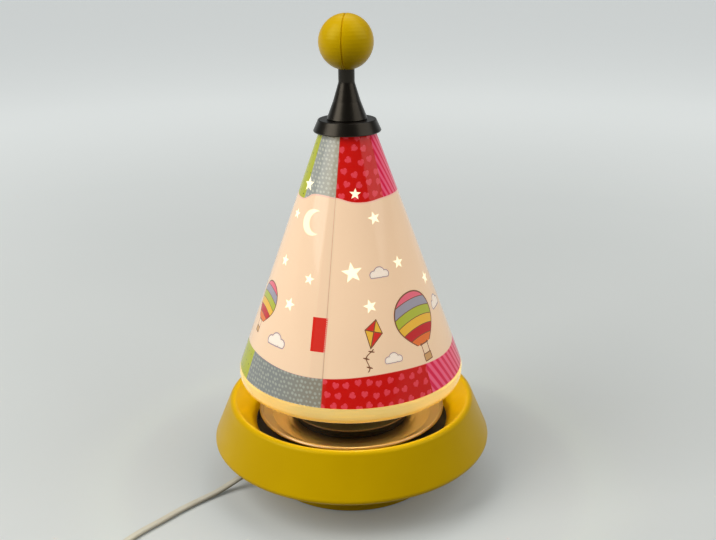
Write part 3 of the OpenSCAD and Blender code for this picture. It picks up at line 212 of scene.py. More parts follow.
# %% The strap round the coil
STRAP_THICK, STRAP_WIDE, STRAP_GAP = 0.6, 10, 0.3
STRAP_LOW, STRAP_HIGH, TIE_TURN = 0.35, 8.85, math.radians(130)
ROUNDING, LAP_START, LAPS, PER_LAP, CLIMB = 0.35, 0.17, 1.14, 64, 0.06
bundle_in = math.sqrt((COIL_IN - CORD_WIDE / 2) ** 2 - (STRAP_WIDE / 2) ** 2) - STRAP_GAP
bundle_out = COIL_IN + COIL_STEP * TURNS / 2 + CORD_WIDE / 2 + STRAP_GAP
half_w, half_h = (bundle_out - bundle_in + STRAP_THICK) / 2, (STRAP_HIGH - STRAP_LOW) / 2

def strap_point(step):
    a = 2 * math.pi * (LAP_START + step / PER_LAP)
    x, z = (math.copysign(abs(part) ** ROUNDING, part) for part in (math.cos(a), math.sin(a)))
    rise = (STRAP_THICK + 0.05) * max(0, min(1, (step / PER_LAP - 1) / CLIMB + 1))
    out = (bundle_in + bundle_out) / 2 + x * half_w
    high = (STRAP_LOW + STRAP_HIGH) / 2 + z * half_h + rise
    return (COIL_AT + Vector((out * math.cos(TIE_TURN), out * math.sin(TIE_TURN), high))) * MM

bm = bmesh.new()
strap_line = [strap_point(step) for step in range(int(PER_LAP * LAPS) + 1)]
strap_across = Vector((-math.sin(TIE_TURN), math.cos(TIE_TURN), 0))
grow_tube(bm, strap_line, STRAP_WIDE * MM, STRAP_THICK * MM, 12, strap_across)
coil_strap = new_piece("coil_strap", bm)
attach(coil_strap, "base")
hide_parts("coil_tie")
print("strap faces:", len(coil_strap.data.polygons))

# %% [markdown]
# The length of the cord's line is printed once more.

# %% The cord's length
print("declared cord:", round(cord_length, 3), "m")

# %% [markdown]
# ## Arithmetic in a material
# The finishes are sums worked out at every point of a surface. A picture texture would be the other way,
# but it is tied to one size and one resolution. A long chain of Math nodes is hard to read, so a small
# class stands for one number in the node tree: + - * and / on it add the node that does it.

# %% A number inside a node tree
def feed(tree, socket, value):
    if isinstance(value, Num):
        tree.links.new(value.socket, socket)
    elif isinstance(value, bpy.types.NodeSocket):
        tree.links.new(value, socket)
    else:
        socket.default_value = value

def feed_all(tree, sockets, values):
    for socket, value in zip(sockets, values):
        feed(tree, socket, value)

class Num:
    def __init__(self, tree, socket):
        self.tree, self.socket = tree, socket

    def node(self, kind, *values, clamp=False):
        node = self.tree.nodes.new("ShaderNodeMath")
        node.operation, node.use_clamp = kind, clamp
        feed_all(self.tree, node.inputs, values)
        return Num(self.tree, node.outputs[0])

    def __add__(self, other): return self.node("ADD", self, other)
    def __radd__(self, other): return self.node("ADD", other, self)
    def __sub__(self, other): return self.node("SUBTRACT", self, other)
    def __rsub__(self, other): return self.node("SUBTRACT", other, self)
    def __mul__(self, other): return self.node("MULTIPLY", self, other)
    def __rmul__(self, other): return self.node("MULTIPLY", other, self)
    def __truediv__(self, other): return self.node("DIVIDE", self, other)
    def __rtruediv__(self, other): return self.node("DIVIDE", other, self)
    def __neg__(self): return self.node("MULTIPLY", self, -1.0)
    def abs(self): return self.node("ABSOLUTE", self)
    def sin(self): return self.node("SINE", self)
    def cos(self): return self.node("COSINE", self)
    def floor(self): return self.node("FLOOR", self)
    def fract(self): return self.node("FRACT", self)
    def min(self, other): return self.node("MINIMUM", self, other)
    def max(self, other): return self.node("MAXIMUM", self, other)
    def root(self): return self.node("SQRT", self)
    def clamped(self): return self.node("ADD", self, 0.0, clamp=True)

    def under(self, edge, soft):
        """1 where the number is under the edge and 0 over it, with a soft step between."""
        step = self.tree.nodes.new("ShaderNodeMapRange")
        step.interpolation_type = "SMOOTHSTEP"
        labels = ("Value", "From Min", "From Max", "To Min", "To Max")
        feed_all(self.tree, [step.inputs[label] for label in labels], (self - edge, -soft, soft, 1.0, 0.0))
        return Num(self.tree, step.outputs[0])

    def between(self, low, high, soft):
        return self.under(high, soft) * (1.0 - self.under(low, soft))

def length(x, y):
    return (x * x + y * y).root()

print("sums and soft steps for the node trees are ready")

# %% [markdown]
# Colours are written as on a screen, in steps of 0 to 255, since that is how a colour is read from a
# chart or a picture. Shaders count in linear light, so every colour goes through one conversion.

# %% Colours as written in paint charts
def rgb(red, green, blue):
    def linear(v):
        v = v / 255
        return v / 12.92 if v <= 0.04045 else ((v + 0.055) / 1.055) ** 2.4
    return (linear(red), linear(green), linear(blue), 1.0)

def mixed(tree, mask, under, over, blend="MIX"):
    node = tree.nodes.new("ShaderNodeMix")
    node.data_type, node.blend_type = "RGBA", blend
    feed_all(tree, (node.inputs[0], node.inputs[6], node.inputs[7]), (mask, under, over))
    return node.outputs[2]

def scaled_colour(tree, colour, factor):
    node = tree.nodes.new("ShaderNodeVectorMath")
    node.operation = "SCALE"
    feed_all(tree, (node.inputs[0], node.inputs["Scale"]),
             (colour[:3] if isinstance(colour, tuple) else colour, factor))
    return node.outputs[0]

print("pure yellow in linear values:", rgb(255, 217, 0))

# %% [markdown]
# ## Node groups that several finishes share
# A group is built once and placed in each material with its own values. Copies of the same nodes in
# every material would work too, but then a change has to be made many times. All groups here take and
# give plain numbers.

# %% A maker of groups
def new_group(name, inputs, outputs):
    tree = bpy.data.node_groups.new(name, "ShaderNodeTree")
    for way, labels in (("INPUT", inputs), ("OUTPUT", outputs)):
        for label in labels:
            tree.interface.new_socket(label, in_out=way, socket_type="NodeSocketFloat")
    entry, leave = tree.nodes.new("NodeGroupInput"), tree.nodes.new("NodeGroupOutput")
    return tree, {label: Num(tree, entry.outputs[label]) for label in inputs}, leave

def placed(tree, group, **values):
    node = tree.nodes.new("ShaderNodeGroup")
    node.node_tree = group
    for label, value in values.items():
        feed(tree, node.inputs[label.replace("_", " ")], value)
    return node

def first_of(tree, group, **values):
    return Num(tree, placed(tree, group, **values).outputs[0])

def object_point(tree, stretch=(1, 1, 1)):
    """Object coordinates in millimetres, stretched where the grain runs one way."""
    place = tree.nodes.new("ShaderNodeTexCoord")
    mapping = tree.nodes.new("ShaderNodeMapping")
    mapping.inputs["Scale"].default_value = [s / MM for s in stretch]
    tree.links.new(place.outputs["Object"], mapping.inputs["Vector"])
    return mapping.outputs["Vector"]

def object_xyz(tree):
    parts = tree.nodes.new("ShaderNodeSeparateXYZ")
    tree.links.new(object_point(tree), parts.inputs[0])
    return [Num(tree, socket) for socket in parts.outputs]

def noise(tree, vector, scale, detail=3.0, rough=0.5):
    node = tree.nodes.new("ShaderNodeTexNoise")
    labels = ("Vector", "Scale", "Detail", "Roughness")
    feed_all(tree, [node.inputs[label] for label in labels], (vector, scale, detail, rough))
    return Num(tree, node.outputs["Fac"])

print("groups can be made and placed")

# %% [markdown]
# No surface is quite even. The first group gives the slight cloudiness and grain of a moulded skin, the
# second the fine rub marks of handling, the third the rings that a lathe or spinning tool leaves. Bought
# materials use scans for this; noise is enough at the distance from which a lamp is seen.

# %% The unevenness of a moulded skin
skin_group, given, leave = new_group("moulded_skin", ("Grain", "Cloud"), ("Height", "Tone"))
point = object_point(skin_group)
grain = noise(skin_group, point, given["Grain"], 2.0, 0.6)
cloud = noise(skin_group, point, given["Cloud"], 3.0, 0.5)
feed_all(skin_group, leave.inputs, (grain + cloud * 0.6, cloud))

# %% The rub marks of handling
rub_group, given, leave = new_group("rub_marks", ("Across", "Along"), ("Mask",))
fine = noise(rub_group, object_point(rub_group, (1, 0.12, 1)), given["Across"], 4.0, 0.7)
broad = noise(rub_group, object_point(rub_group), given["Along"], 2.0, 0.5)
feed(rub_group, leave.inputs["Mask"], (1.0 - fine.under(0.6, 0.12)) * (1.0 - broad.under(0.52, 0.16)))

# %% Rings turned on a lathe
lathe_group, given, leave = new_group("lathe_rings", ("Pitch", "Break"), ("Height", "Mask"))
x, y, z = object_xyz(lathe_group)
turn = y.node("ARCTAN2", y, x)
ring_place = lathe_group.nodes.new("ShaderNodeCombineXYZ")
feed_all(lathe_group, ring_place.inputs,
         (length(x, y) * given["Pitch"], turn.cos() * given["Break"], turn.sin() * given["Break"]))
fine = noise(lathe_group, ring_place.outputs[0], 1.0, 3.0, 0.7)
feed_all(lathe_group, leave.inputs, (fine, 1.0 - fine.under(0.55, 0.15)))
print("shared groups:", [g.name for g in bpy.data.node_groups])

# %% [markdown]
# ## A base to paint on
# Every finish starts from one Principled shader. The helper makes the material, sets the plain values on
# the shader's own sockets, and hands back the tree, so that the cells below only add what is special.
# A moulded plastic is then two near colours clouded together, with a fine skin and duller rubbed places.

# %% A new finish
finishes = {}

def new_finish(slot, colour, rough=0.5, **plain):
    material = bpy.data.materials.new(slot)
    material.use_nodes = True
    tree = material.node_tree
    shader = tree.nodes["Principled BSDF"]
    shader.inputs["Base Color"].default_value = colour
    shader.inputs["Roughness"].default_value = rough
    for label, value in plain.items():
        shader.inputs[label.replace("_", " ")].default_value = value
    material.diffuse_color = colour
    finishes[slot] = material
    return tree, shader

def bumped(tree, shader, height, depth_mm):
    bump = tree.nodes.new("ShaderNodeBump")
    bump.inputs["Distance"].default_value = depth_mm * MM
    bump.inputs["Strength"].default_value = 1.0
    feed(tree, bump.inputs["Height"], height)
    tree.links.new(bump.outputs["Normal"], shader.inputs["Normal"])

def moulded(slot, colour, deep, rough, grain=1.2, cloud=0.03, depth=0.02, wear=0.12, **plain):
    tree, shader = new_finish(slot, colour, rough, **plain)
    skin = placed(tree, skin_group, Grain=grain, Cloud=cloud)
    marks = first_of(tree, rub_group, Across=0.5, Along=0.05)
    tone = Num(tree, skin.outputs["Tone"])
    feed(tree, shader.inputs["Base Color"], mixed(tree, 1.0 - tone.under(0.5, 0.3), colour, deep))
    feed(tree, shader.inputs["Roughness"], (tone * 0.12 + (rough - 0.06)) + marks * wear)
    bumped(tree, shader, skin.outputs["Height"], depth)
    return tree, shader

print("the finishes' helpers are ready")

# %% [markdown]
# ## Yellow plastic
# The base ring, the foot and the ball are one warm yellow plastic with a silky skin: a broad soft
# highlight, hardly any grain. A white highlight would look like paint. Here the pigment lies in the skin
# itself, so the reflection is tinted and stays yellow.

# %% Yellow plastic
moulded("yellow_plastic", rgb(229, 186, 0), rgb(222, 178, 0), 0.34, grain=1.6, cloud=0.02, depth=0.008,
        wear=0.06, IOR=1.36, Specular_IOR_Level=0.5, Specular_Tint=(0.95, 1.0, 0.15, 1.0))
print("made yellow_plastic")

# %% [markdown]
# ## Black plastic
# The flange and the cone under the ball are black with a brown cast. Black has no shading of its own:
# its shine is what shows the shape, so the roughness stays low and uneven.

# %% Black plastic
moulded("black_plastic", rgb(14, 11, 8), rgb(9, 7, 5), 0.3, grain=1.8, cloud=0.05, depth=0.008, wear=0.1,
        IOR=1.42, Specular_Tint=(1.0, 0.88, 0.7, 1.0))
print("made black_plastic")

# %% [markdown]
# The hub under the bulb is a duller black, so that the glowing rim doesn't turn it brown. Its moulded top
# edge is smoother than the rest, and a thin painted highlight, a lighter brown in the base colour, runs
# along it as well. The edge is found by radius and height, which is simpler than giving those faces a
# material of their own.

# %% Black hub
EDGE_R, EDGE_Z = 45.9, 54.9
tree, shader = moulded("hub_black", rgb(12, 9, 7), rgb(8, 6, 5), 0.5, grain=1.8, cloud=0.05, depth=0.008,
                       wear=0.1, IOR=1.3)
x, y, z = object_xyz(tree)
top_edge = (1.0 - length(x, y).under(EDGE_R, 0.1)) * (1.0 - z.under(EDGE_Z, 0.1))
grain = noise(tree, object_point(tree), 1.4, 3.0, 0.6)
black = mixed(tree, grain, rgb(12, 9, 7), rgb(8, 6, 5))
# Painted highlight: the top edge is lighter brown in the base colour, besides being smoother.
feed(tree, shader.inputs["Base Color"], mixed(tree, top_edge * 0.6, black, rgb(116, 88, 60)))
feed(tree, shader.inputs["Roughness"], 0.52 + grain * 0.1 - top_edge * 0.3)
print("made hub_black")

# %% [markdown]
# ## The dish
# The dish is spun aluminium with a champagne lacquer. Spinning leaves fine rings, so the grain runs in
# circles about the lamp's axis. An anisotropic shader could stretch the highlight alone; with rings in
# object coordinates, whose Z is that axis, the colour changes from ring to ring as well.

# %% Champagne metal
tree, shader = new_finish("dish_metal", rgb(200, 177, 146), 0.3, Metallic=1.0)
rings = placed(tree, lathe_group, Pitch=2.2, Break=0.2)
broad = placed(tree, lathe_group, Pitch=0.12, Break=0.15)
darker = Num(tree, broad.outputs["Mask"]) * 0.3
feed(tree, shader.inputs["Base Color"], mixed(tree, darker, rgb(200, 177, 146), rgb(186, 160, 126)))
marks = first_of(tree, rub_group, Across=0.4, Along=0.06)
feed(tree, shader.inputs["Roughness"], Num(tree, rings.outputs["Mask"]) * 0.03 + 0.36 + marks * 0.04)
bumped(tree, shader, rings.outputs["Height"], 0.0005)
print("made dish_metal")

# %% [markdown]
# ## Bare metals
# Zinc plate shows a faint patchwork, drawn wire has streaks along its length, and brass darkens in
# places. One helper mixes two tones by noise and roughens the darker one, and the stretch of the noise
# tells plate from wire.

# %% Metals
def metal(slot, bright, dull, rough, scale, stretch=(1, 1, 1), spread=0.16):
    tree, shader = new_finish(slot, bright, rough, Metallic=1.0)
    patch = noise(tree, object_point(tree, stretch), scale, 4.0, 0.65)
    dulled = 1.0 - patch.under(0.5, 0.2)
    marks = first_of(tree, rub_group, Across=1.2, Along=0.1)
    feed(tree, shader.inputs["Base Color"], mixed(tree, dulled, bright, dull))
    feed(tree, shader.inputs["Roughness"], dulled * spread + rough + marks * 0.1)
    bumped(tree, shader, patch, 0.01)

metal("zinc_steel", rgb(196, 198, 200), rgb(160, 162, 160), 0.26, 0.5)
metal("bare_wire", rgb(205, 204, 200), rgb(170, 168, 162), 0.22, 1.2, (1, 1, 0.06))
metal("brass", rgb(214, 176, 98), rgb(170, 126, 62), 0.26, 0.4)
metal("bulb_metal", rgb(206, 206, 202), rgb(176, 175, 170), 0.3, 0.7, (1, 1, 3))
metal("pin_metal", rgb(214, 212, 206), rgb(188, 184, 176), 0.14, 0.5, (0.3, 1, 1), spread=0.1)
print("finishes with the metals:", len(finishes))

# %% [markdown]
# ## Painted steel, rubber and white plastics
# Powder coat has a fine orange-peel skin, rubber is matt with dust in it, and the white plastics of the
# holder, the switch, the plug and the cord differ in warmth and shine. One white for all of them would
# be quicker and would look like one moulding.

# %% Coated, soft and white finishes
moulded("black_steel", rgb(44, 44, 46), rgb(36, 36, 38), 0.5, grain=1.1, cloud=0.04, depth=0.06, wear=0.1)
moulded("rubber_black", rgb(34, 33, 32), rgb(46, 45, 43), 0.78, grain=2.4, cloud=0.2, depth=0.05, wear=0.1)
moulded("holder_plastic", rgb(226, 224, 214), rgb(216, 212, 200), 0.42, grain=1.4, cloud=0.06)
moulded("turbine_white", rgb(236, 233, 224), rgb(228, 224, 212), 0.46, grain=1.3, cloud=0.05)
moulded("cord_white", rgb(226, 222, 204), rgb(214, 209, 190), 0.44, grain=1.0, cloud=0.09, depth=0.03, wear=0.16)
moulded("fitting_white", rgb(232, 231, 224), rgb(224, 222, 212), 0.4, grain=1.2, cloud=0.04, depth=0.03)
moulded("sleeve_black", rgb(30, 30, 31), rgb(24, 24, 25), 0.45, grain=1.6, cloud=0.1)
moulded("lead_brown", rgb(120, 74, 46), rgb(104, 62, 38), 0.45, grain=1.2, cloud=0.1)
print("finishes with the plastics:", len(finishes))

# %% [markdown]
# The strap's outer side is a field of tiny loops. Real loops would be thousands of hairs; cells of a
# Voronoi pattern with some fuzz over them give the same dull, pitted cloth.

# %% The strap's loops
tree, shader = new_finish("tie_grey", rgb(70, 71, 74), 0.9, Sheen_Weight=0.35, Sheen_Roughness=0.5)
woven = tree.nodes.new("ShaderNodeTexVoronoi")
woven.inputs["Scale"].default_value = 1.8
tree.links.new(object_point(tree), woven.inputs["Vector"])
loops = Num(tree, woven.outputs["Distance"])
fuzz = noise(tree, object_point(tree), 3.0, 4.0, 0.7)
pitted = (loops * 1.2 + fuzz * 0.4).clamped()
feed(tree, shader.inputs["Base Color"], mixed(tree, pitted, rgb(92, 93, 96), rgb(40, 41, 43)))
bumped(tree, shader, loops * -1.0 + fuzz * 0.5, 0.25)
print("plain finishes:", len(finishes))

# %% [markdown]
# ## The bulb
# The globe is clear glass over a glass stem and a glowing wire. The glow belongs to the filament alone;
# the light that it throws comes from a small lamp in the light cell, because a thin bright wire lights a
# room only with a lot of noise.

# %% Glass and filament
tree, shader = new_finish("bulb_clear", rgb(255, 250, 240), 0.03, Transmission_Weight=1.0, IOR=1.45)
film = noise(tree, object_point(tree), 0.08, 3.0, 0.5)
feed(tree, shader.inputs["Roughness"], film * 0.05)
feed(tree, shader.inputs["Base Color"], mixed(tree, film, rgb(255, 252, 246), rgb(255, 240, 214)))
tree, shader = new_finish("stem_glass", rgb(235, 242, 240), 0.06, Transmission_Weight=0.9, IOR=1.5)
film = noise(tree, object_point(tree), 0.4, 2.0, 0.5)
feed(tree, shader.inputs["Roughness"], film * 0.12)
tree, shader = new_finish("filament", rgb(255, 190, 90), 0.5, Emission_Strength=6.0)
hot = noise(tree, object_point(tree), 0.3, 2.0, 0.5)
feed(tree, shader.inputs["Emission Color"], mixed(tree, hot, rgb(255, 150, 50), rgb(255, 214, 130)))
print("made bulb_clear, stem_glass and filament")

# %% [markdown]
# ## The clear rim
# Under the print the moulded cone is bare. Lit from inside it glows like honey: brightest over the
# shoulder, browner at the lip, with a painted bright line along the lowest edge. Pure glass would show the
# dark room through it; a little painted light of its own stands for what scatters in the plastic, and it
# stays clear enough to show the bridge dimly.

# %% Clear plastic with light in it
LAST_EDGE_Z, LIP_Z, LOWER_HALF_Z = 81.8, 84.4, 87.0
tree, shader = new_finish("shade_clear", rgb(240, 212, 136), 0.16, Transmission_Weight=0.6, IOR=1.46,
                          Emission_Strength=0.27)
height = object_xyz(tree)[2]
streak = noise(tree, object_point(tree, (1, 1, 0.15)), 0.06, 3.0, 0.6)
lip = height.under(LIP_Z, 1.2)
glow = mixed(tree, streak, rgb(255, 238, 166), rgb(250, 222, 128))
glow = mixed(tree, height.under(LOWER_HALF_Z, 3.5) * 0.5, glow, rgb(244, 208, 116))
glow = mixed(tree, lip * 0.8, glow, rgb(222, 180, 88))
# Painted highlight: a bright line of glow along the lowest edge.
glow = mixed(tree, height.under(LAST_EDGE_Z, 0.25), glow, rgb(255, 250, 214))
feed(tree, shader.inputs["Emission Color"], glow)
honey = mixed(tree, lip * 0.6 + streak * 0.2, rgb(240, 212, 136), rgb(214, 172, 84))
feed(tree, shader.inputs["Base Color"], honey)
feed(tree, shader.inputs["Roughness"], streak * 0.16 + 0.06)
print("made shade_clear")

# %% [markdown]
# ## The printed sheet: where a point lies on the paper
# The print is a flat sheet rolled into a cone. To draw hearts and stars that aren't stretched, each point
# of the cone is put back on the flat sheet: its distance from the cone's apex stays, and its turn about
# the axis shrinks by the sine of the cone's half angle. The artwork repeats every half turn. A UV map
# would do the same, but the CAD part has none, and these sums hold at any number of faces.

# %% Unrolling the cone
LOW_R, LOW_Z, TOP_R, TOP_Z = 84.5, 91.5, 19.8, 269
LEAN = math.atan((LOW_R - TOP_R) / (TOP_Z - LOW_Z))
APEX = LOW_Z + LOW_R / math.tan(LEAN)
HALF_TURN = math.pi / 2
PLACE = ("Turn", "Whole Turn", "Height", "Slant", "Angle")

place_group, given, leave = new_group("paper_place", ("Wrap",), PLACE)
x, y, z = object_xyz(place_group)
turn = x.node("ARCTAN2", x, -y)
wrapped = turn.node("WRAP", turn, given["Wrap"], -given["Wrap"])
feed_all(place_group, [leave.inputs[label] for label in PLACE],
         (wrapped * math.degrees(1), turn * math.degrees(1), z, (APEX - z) / math.cos(LEAN),
          wrapped * math.sin(LEAN)))
print("half angle of the cone:", round(math.degrees(LEAN), 2), "apex height in mm:", round(APEX, 1))

# %% [markdown]
# A motif needs its own two directions: across the sheet and up it, from its centre. This group turns the
# sheet's place into them, and every motif group below starts with it.

# %% Local directions of a motif
MOTIF = ("Angle", "Slant", "At Turn", "At Height", "Size", "Tilt")
local_group, given, leave = new_group("motif_place", MOTIF, ("Across", "Up"))
centre_angle = given["At Turn"] * (math.sin(LEAN) * math.radians(1))
centre_slant = (APEX - given["At Height"]) / math.cos(LEAN)
across = (given["Angle"] - centre_angle) * given["Slant"] / given["Size"]
up = (centre_slant - given["Slant"]) / given["Size"]
tilt = given["Tilt"] * math.radians(1)
feed_all(local_group, leave.inputs,
         (across * tilt.cos() + up * tilt.sin(), up * tilt.cos() - across * tilt.sin()))

def motif_group(name, *outputs):
    tree, given, leave = new_group(name, MOTIF, outputs)
    local = placed(tree, local_group, **{k.replace(" ", "_"): given[k] for k in MOTIF})
    return tree, leave, Num(tree, local.outputs["Across"]), Num(tree, local.outputs["Up"])

print("a motif takes", MOTIF)

# %% [markdown]
# A star is a circle whose radius swings between a point and a notch: the turn is folded onto one half of
# one point, where the outline is a straight line. The moon is a disc with a second disc bitten out.

# %% A five-pointed star and a crescent moon
NOTCH, POINT = 0.42, math.pi / 5
star_group, leave, x, y = motif_group("star_print", "Mask")
turn = x.node("ARCTAN2", x, y)
fold = turn.node("WRAP", turn, POINT, -POINT).abs()
edge = NOTCH * math.sin(POINT) / (fold.sin() + NOTCH * (POINT - fold).sin())
feed(star_group, leave.inputs["Mask"], (length(x, y) - edge).under(0.0, 0.08))

moon_group, leave, x, y = motif_group("moon_print", "Mask")
bite = length(x - 0.5, y - 0.14).under(0.86, 0.05)
feed(moon_group, leave.inputs["Mask"], length(x, y).under(1.0, 0.05) * (1.0 - bite))
print("motifs: star, moon")

# %% [markdown]
# Hearts and dots are scattered like a patchwork cloth: the sheet is cut in cells, every second row is
# shifted by half a cell, and a random number of each cell turns and moves its motif a little. Placing
# each heart by hand would give the same cloth with a hundred more nodes.

# %% Scattered hearts and dots
SCATTER = ("Across", "Along", "Cell", "Size")
JITTER = 0.34

def cells(tree, given):
    along = given["Along"] / given["Cell"]
    row = along.floor()
    shifted = given["Across"] / given["Cell"] + row * 0.5
    cell_id = tree.nodes.new("ShaderNodeCombineXYZ")
    feed_all(tree, cell_id.inputs, (shifted.floor(), row))
    chance = tree.nodes.new("ShaderNodeTexWhiteNoise")
    tree.links.new(cell_id.outputs[0], chance.inputs["Vector"])
    parts = tree.nodes.new("ShaderNodeSeparateColor")
    tree.links.new(chance.outputs["Color"], parts.inputs[0])
    red, green, blue = (Num(tree, s) for s in parts.outputs)
    x = (shifted.fract() - 0.5 + (red - 0.5) * JITTER) * given["Cell"]
    y = (along.fract() - 0.5 + (green - 0.5) * JITTER) * given["Cell"]
    return x, y, blue

heart_group, given, leave = new_group("heart_scatter", SCATTER, ("Mask",))
x, y, chance = cells(heart_group, given)
turn = (chance - 0.5) * 2.4
scale = 2.28 / given["Size"]
hx, hy = (x * turn.cos() - y * turn.sin()) * scale, (x * turn.sin() + y * turn.cos()) * -scale
ball = hx * hx + hy * hy - 1.0
feed(heart_group, leave.inputs["Mask"], (ball * ball * ball - hx * hx * hy * hy * hy).under(0.0, 0.12))

dot_group, given, leave = new_group("dot_scatter", SCATTER, ("Mask",))
x, y, chance = cells(dot_group, given)
feed(dot_group, leave.inputs["Mask"], length(x, y).under(given["Size"] * (chance * 0.2 + 0.42), 0.3))

# %% Stripes
stripe_group, given, leave = new_group("stripe_rows", ("Across", "Along", "Lean", "Pitch"), ("Mask",))
lean = given["Lean"] * math.radians(1)
place = (given["Across"] * lean.cos() + given["Along"] * lean.sin()) / given["Pitch"]
feed(stripe_group, leave.inputs["Mask"], (place.fract() - 0.5).abs().under(0.25, 0.09))
print("cloth patterns: hearts, dots, stripes")

# %% [markdown]
# The large pictures are a striped hot-air balloon, a kite and clouds. They stand where the real print has
# its own characters. Each is drawn by simple outlines: a circle that narrows below its middle, a square
# stood on its corner, three overlapping discs.

# %% A striped balloon
BELT, MOUTH_Y, BASKET_X, BASKET_TOP, BASKET_LOW = 2.75, -1.06, 0.2, -1.46, -1.74
balloon_group, leave, x, y = motif_group("balloon_print", "Mask", "Line", "Band", "Basket")
low, high = y.min(0.0), y.max(0.0)
narrow = x / (1.0 - low * low * 0.34)
body = (narrow * narrow + high * high + low * low * 0.62).root()
mouth = y.under(MOUTH_Y, 0.01)
envelope = body.under(1.0, 0.012) * (1.0 - mouth)
band = (y + x * x * 0.22 + 1.1) * BELT
seams = (band.fract() - 0.5).abs()
in_width, in_height = x.abs().under(BASKET_X, 0.01), y.between(BASKET_LOW, BASKET_TOP, 0.01)
basket = in_width * in_height
ropes = (x.abs() - 0.17).abs().under(0.018, 0.01) * y.between(BASKET_TOP, -1.0, 0.01)
outline = (body - 1.0).abs().under(0.028, 0.015) * (1.0 - mouth)
rim = x.abs().under(0.24, 0.01) * (y + 1.07).abs().under(0.025, 0.01)
weave = (x.abs() - BASKET_X).abs().under(0.02, 0.01) * in_height
for edge in (BASKET_TOP, BASKET_LOW):
    weave = weave.max(in_width * (y - edge).abs().under(0.02, 0.01))
lines = outline.max(rim).max(ropes).max(weave).max(envelope * (1.0 - seams.under(0.46, 0.02)))
feed_all(balloon_group, leave.inputs, (envelope.max(basket), lines, (band / 6.0).clamped(), basket))

# %% A cloud
cloud_group, leave, x, y = motif_group("cloud_print", "Mask", "Line")

def lobe(at_x, at_y, radius):
    return length(x - at_x, y - at_y) - radius

shape = lobe(-0.55, 0.0, 0.4).min(lobe(0.0, 0.2, 0.52)).min(lobe(0.58, 0.02, 0.36)).max(-0.26 - y)
feed_all(cloud_group, leave.inputs, (shape.under(0.0, 0.02), shape.abs().under(0.05, 0.03)))

# %% A kite with a tail
kite_group, leave, x, y = motif_group("kite_print", "Mask", "Line", "Half")
shape = x.abs() * 1.35 + (y.max(0.0) - y.min(0.0) * 0.72) - 1.0
inside = shape.under(0.0, 0.02)
sway = (x - (y * 3.6).sin() * 0.22).abs()
tail = sway.under(0.05, 0.03) * y.between(-3.3, -1.38, 0.02)
bows = ((y * 1.55).fract() - 0.5).abs().under(0.13 - sway * 0.3, 0.04) * sway.under(0.26, 0.02)
bows = bows * y.between(-3.2, -1.55, 0.02)
spars = x.abs().under(0.04, 0.02).max(y.abs().under(0.04, 0.02)) * inside
lines = shape.abs().under(0.06, 0.03).max(tail).max(bows).max(spars)
feed_all(kite_group, leave.inputs, (inside, lines, (x * y).under(0.0, 0.01)))
print("groups so far:", len(bpy.data.node_groups))

# %% [markdown]
# ## The printed sheet: the artwork
# The sheet is cream, with a patchwork band at the top and one at the foot: lime with specks, blue-grey
# with white dots, red with pink hearts and pink stripes. The top band's lower edge waves; a Float Curve
# node holds that wave, since its points can be set where the photograph has them.

# %% Cream ground and the edges of the bands
CREAM, SEAM_TURN = rgb(248, 220, 190), -14.7
WAVE = ((-90, 226), (-63, 224.3), (-40, 229.3), (-15, 228.3), (15, 225), (45, 226.3), (90, 226))
WAVE_LOW, WAVE_SPAN = 220, 12
tree, shader = new_finish("printed_sheet", CREAM, 0.34, Coat_Weight=0.9, Coat_Roughness=0.09,
                          Coat_IOR=1.36, Specular_IOR_Level=0.0, Emission_Strength=1.0)
sheet = placed(tree, place_group, Wrap=HALF_TURN)
turn, whole_turn, height, slant, angle = (Num(tree, sheet.outputs[label]) for label in PLACE)
wave = tree.nodes.new("ShaderNodeFloatCurve")
curve = wave.mapping.curves[0]
for i, (at_turn, at_height) in enumerate(WAVE):
    spot = ((at_turn + 90) / 180, (at_height - WAVE_LOW) / WAVE_SPAN)
    if i in (0, len(WAVE) - 1):
        curve.points[0 if i == 0 else -1].location = spot
    else:
        curve.points.new(*spot)
wave.mapping.update()
feed(tree, wave.inputs["Value"], (turn + 90.0) / 180.0)
top_edge = Num(tree, wave.outputs[0]) * float(WAVE_SPAN) + float(WAVE_LOW)
low_edge = 113.2 + (turn * math.radians(4)).sin() * 1.2
in_top = 1.0 - height.under(top_edge, 0.15)
in_low = height.under(low_edge, 0.15)
print("points on the wave:", len(curve.points))

# %% [markdown]
# The patches follow each other round the sheet: lime, grey, red and pink, and each starts at its own
# turn. The grey cloth is bluer at its left end; its paler, warmer right end is a painted reflection of the
# left soft box in the glossy sheet. Four pictures of cloth would be another way; here each cloth is one
# plain colour and one scattered pattern.

# %% The four patches of cloth
across = angle * slant
on_sheet = {"Across": across, "Along": slant}
pale_dots = first_of(tree, dot_group, **on_sheet, Cell=3.2, Size=1.7)
hearts = first_of(tree, heart_group, **on_sheet, Cell=8.0, Size=4.6)
specks = first_of(tree, dot_group, **on_sheet, Cell=7.0, Size=0.9)
leaning = first_of(tree, stripe_group, **on_sheet, Lean=-35.0, Pitch=3.9)
steeper = first_of(tree, stripe_group, **on_sheet, Lean=-40.0, Pitch=5.0)
stripes = leaning * in_top + steeper * (1.0 - in_top)
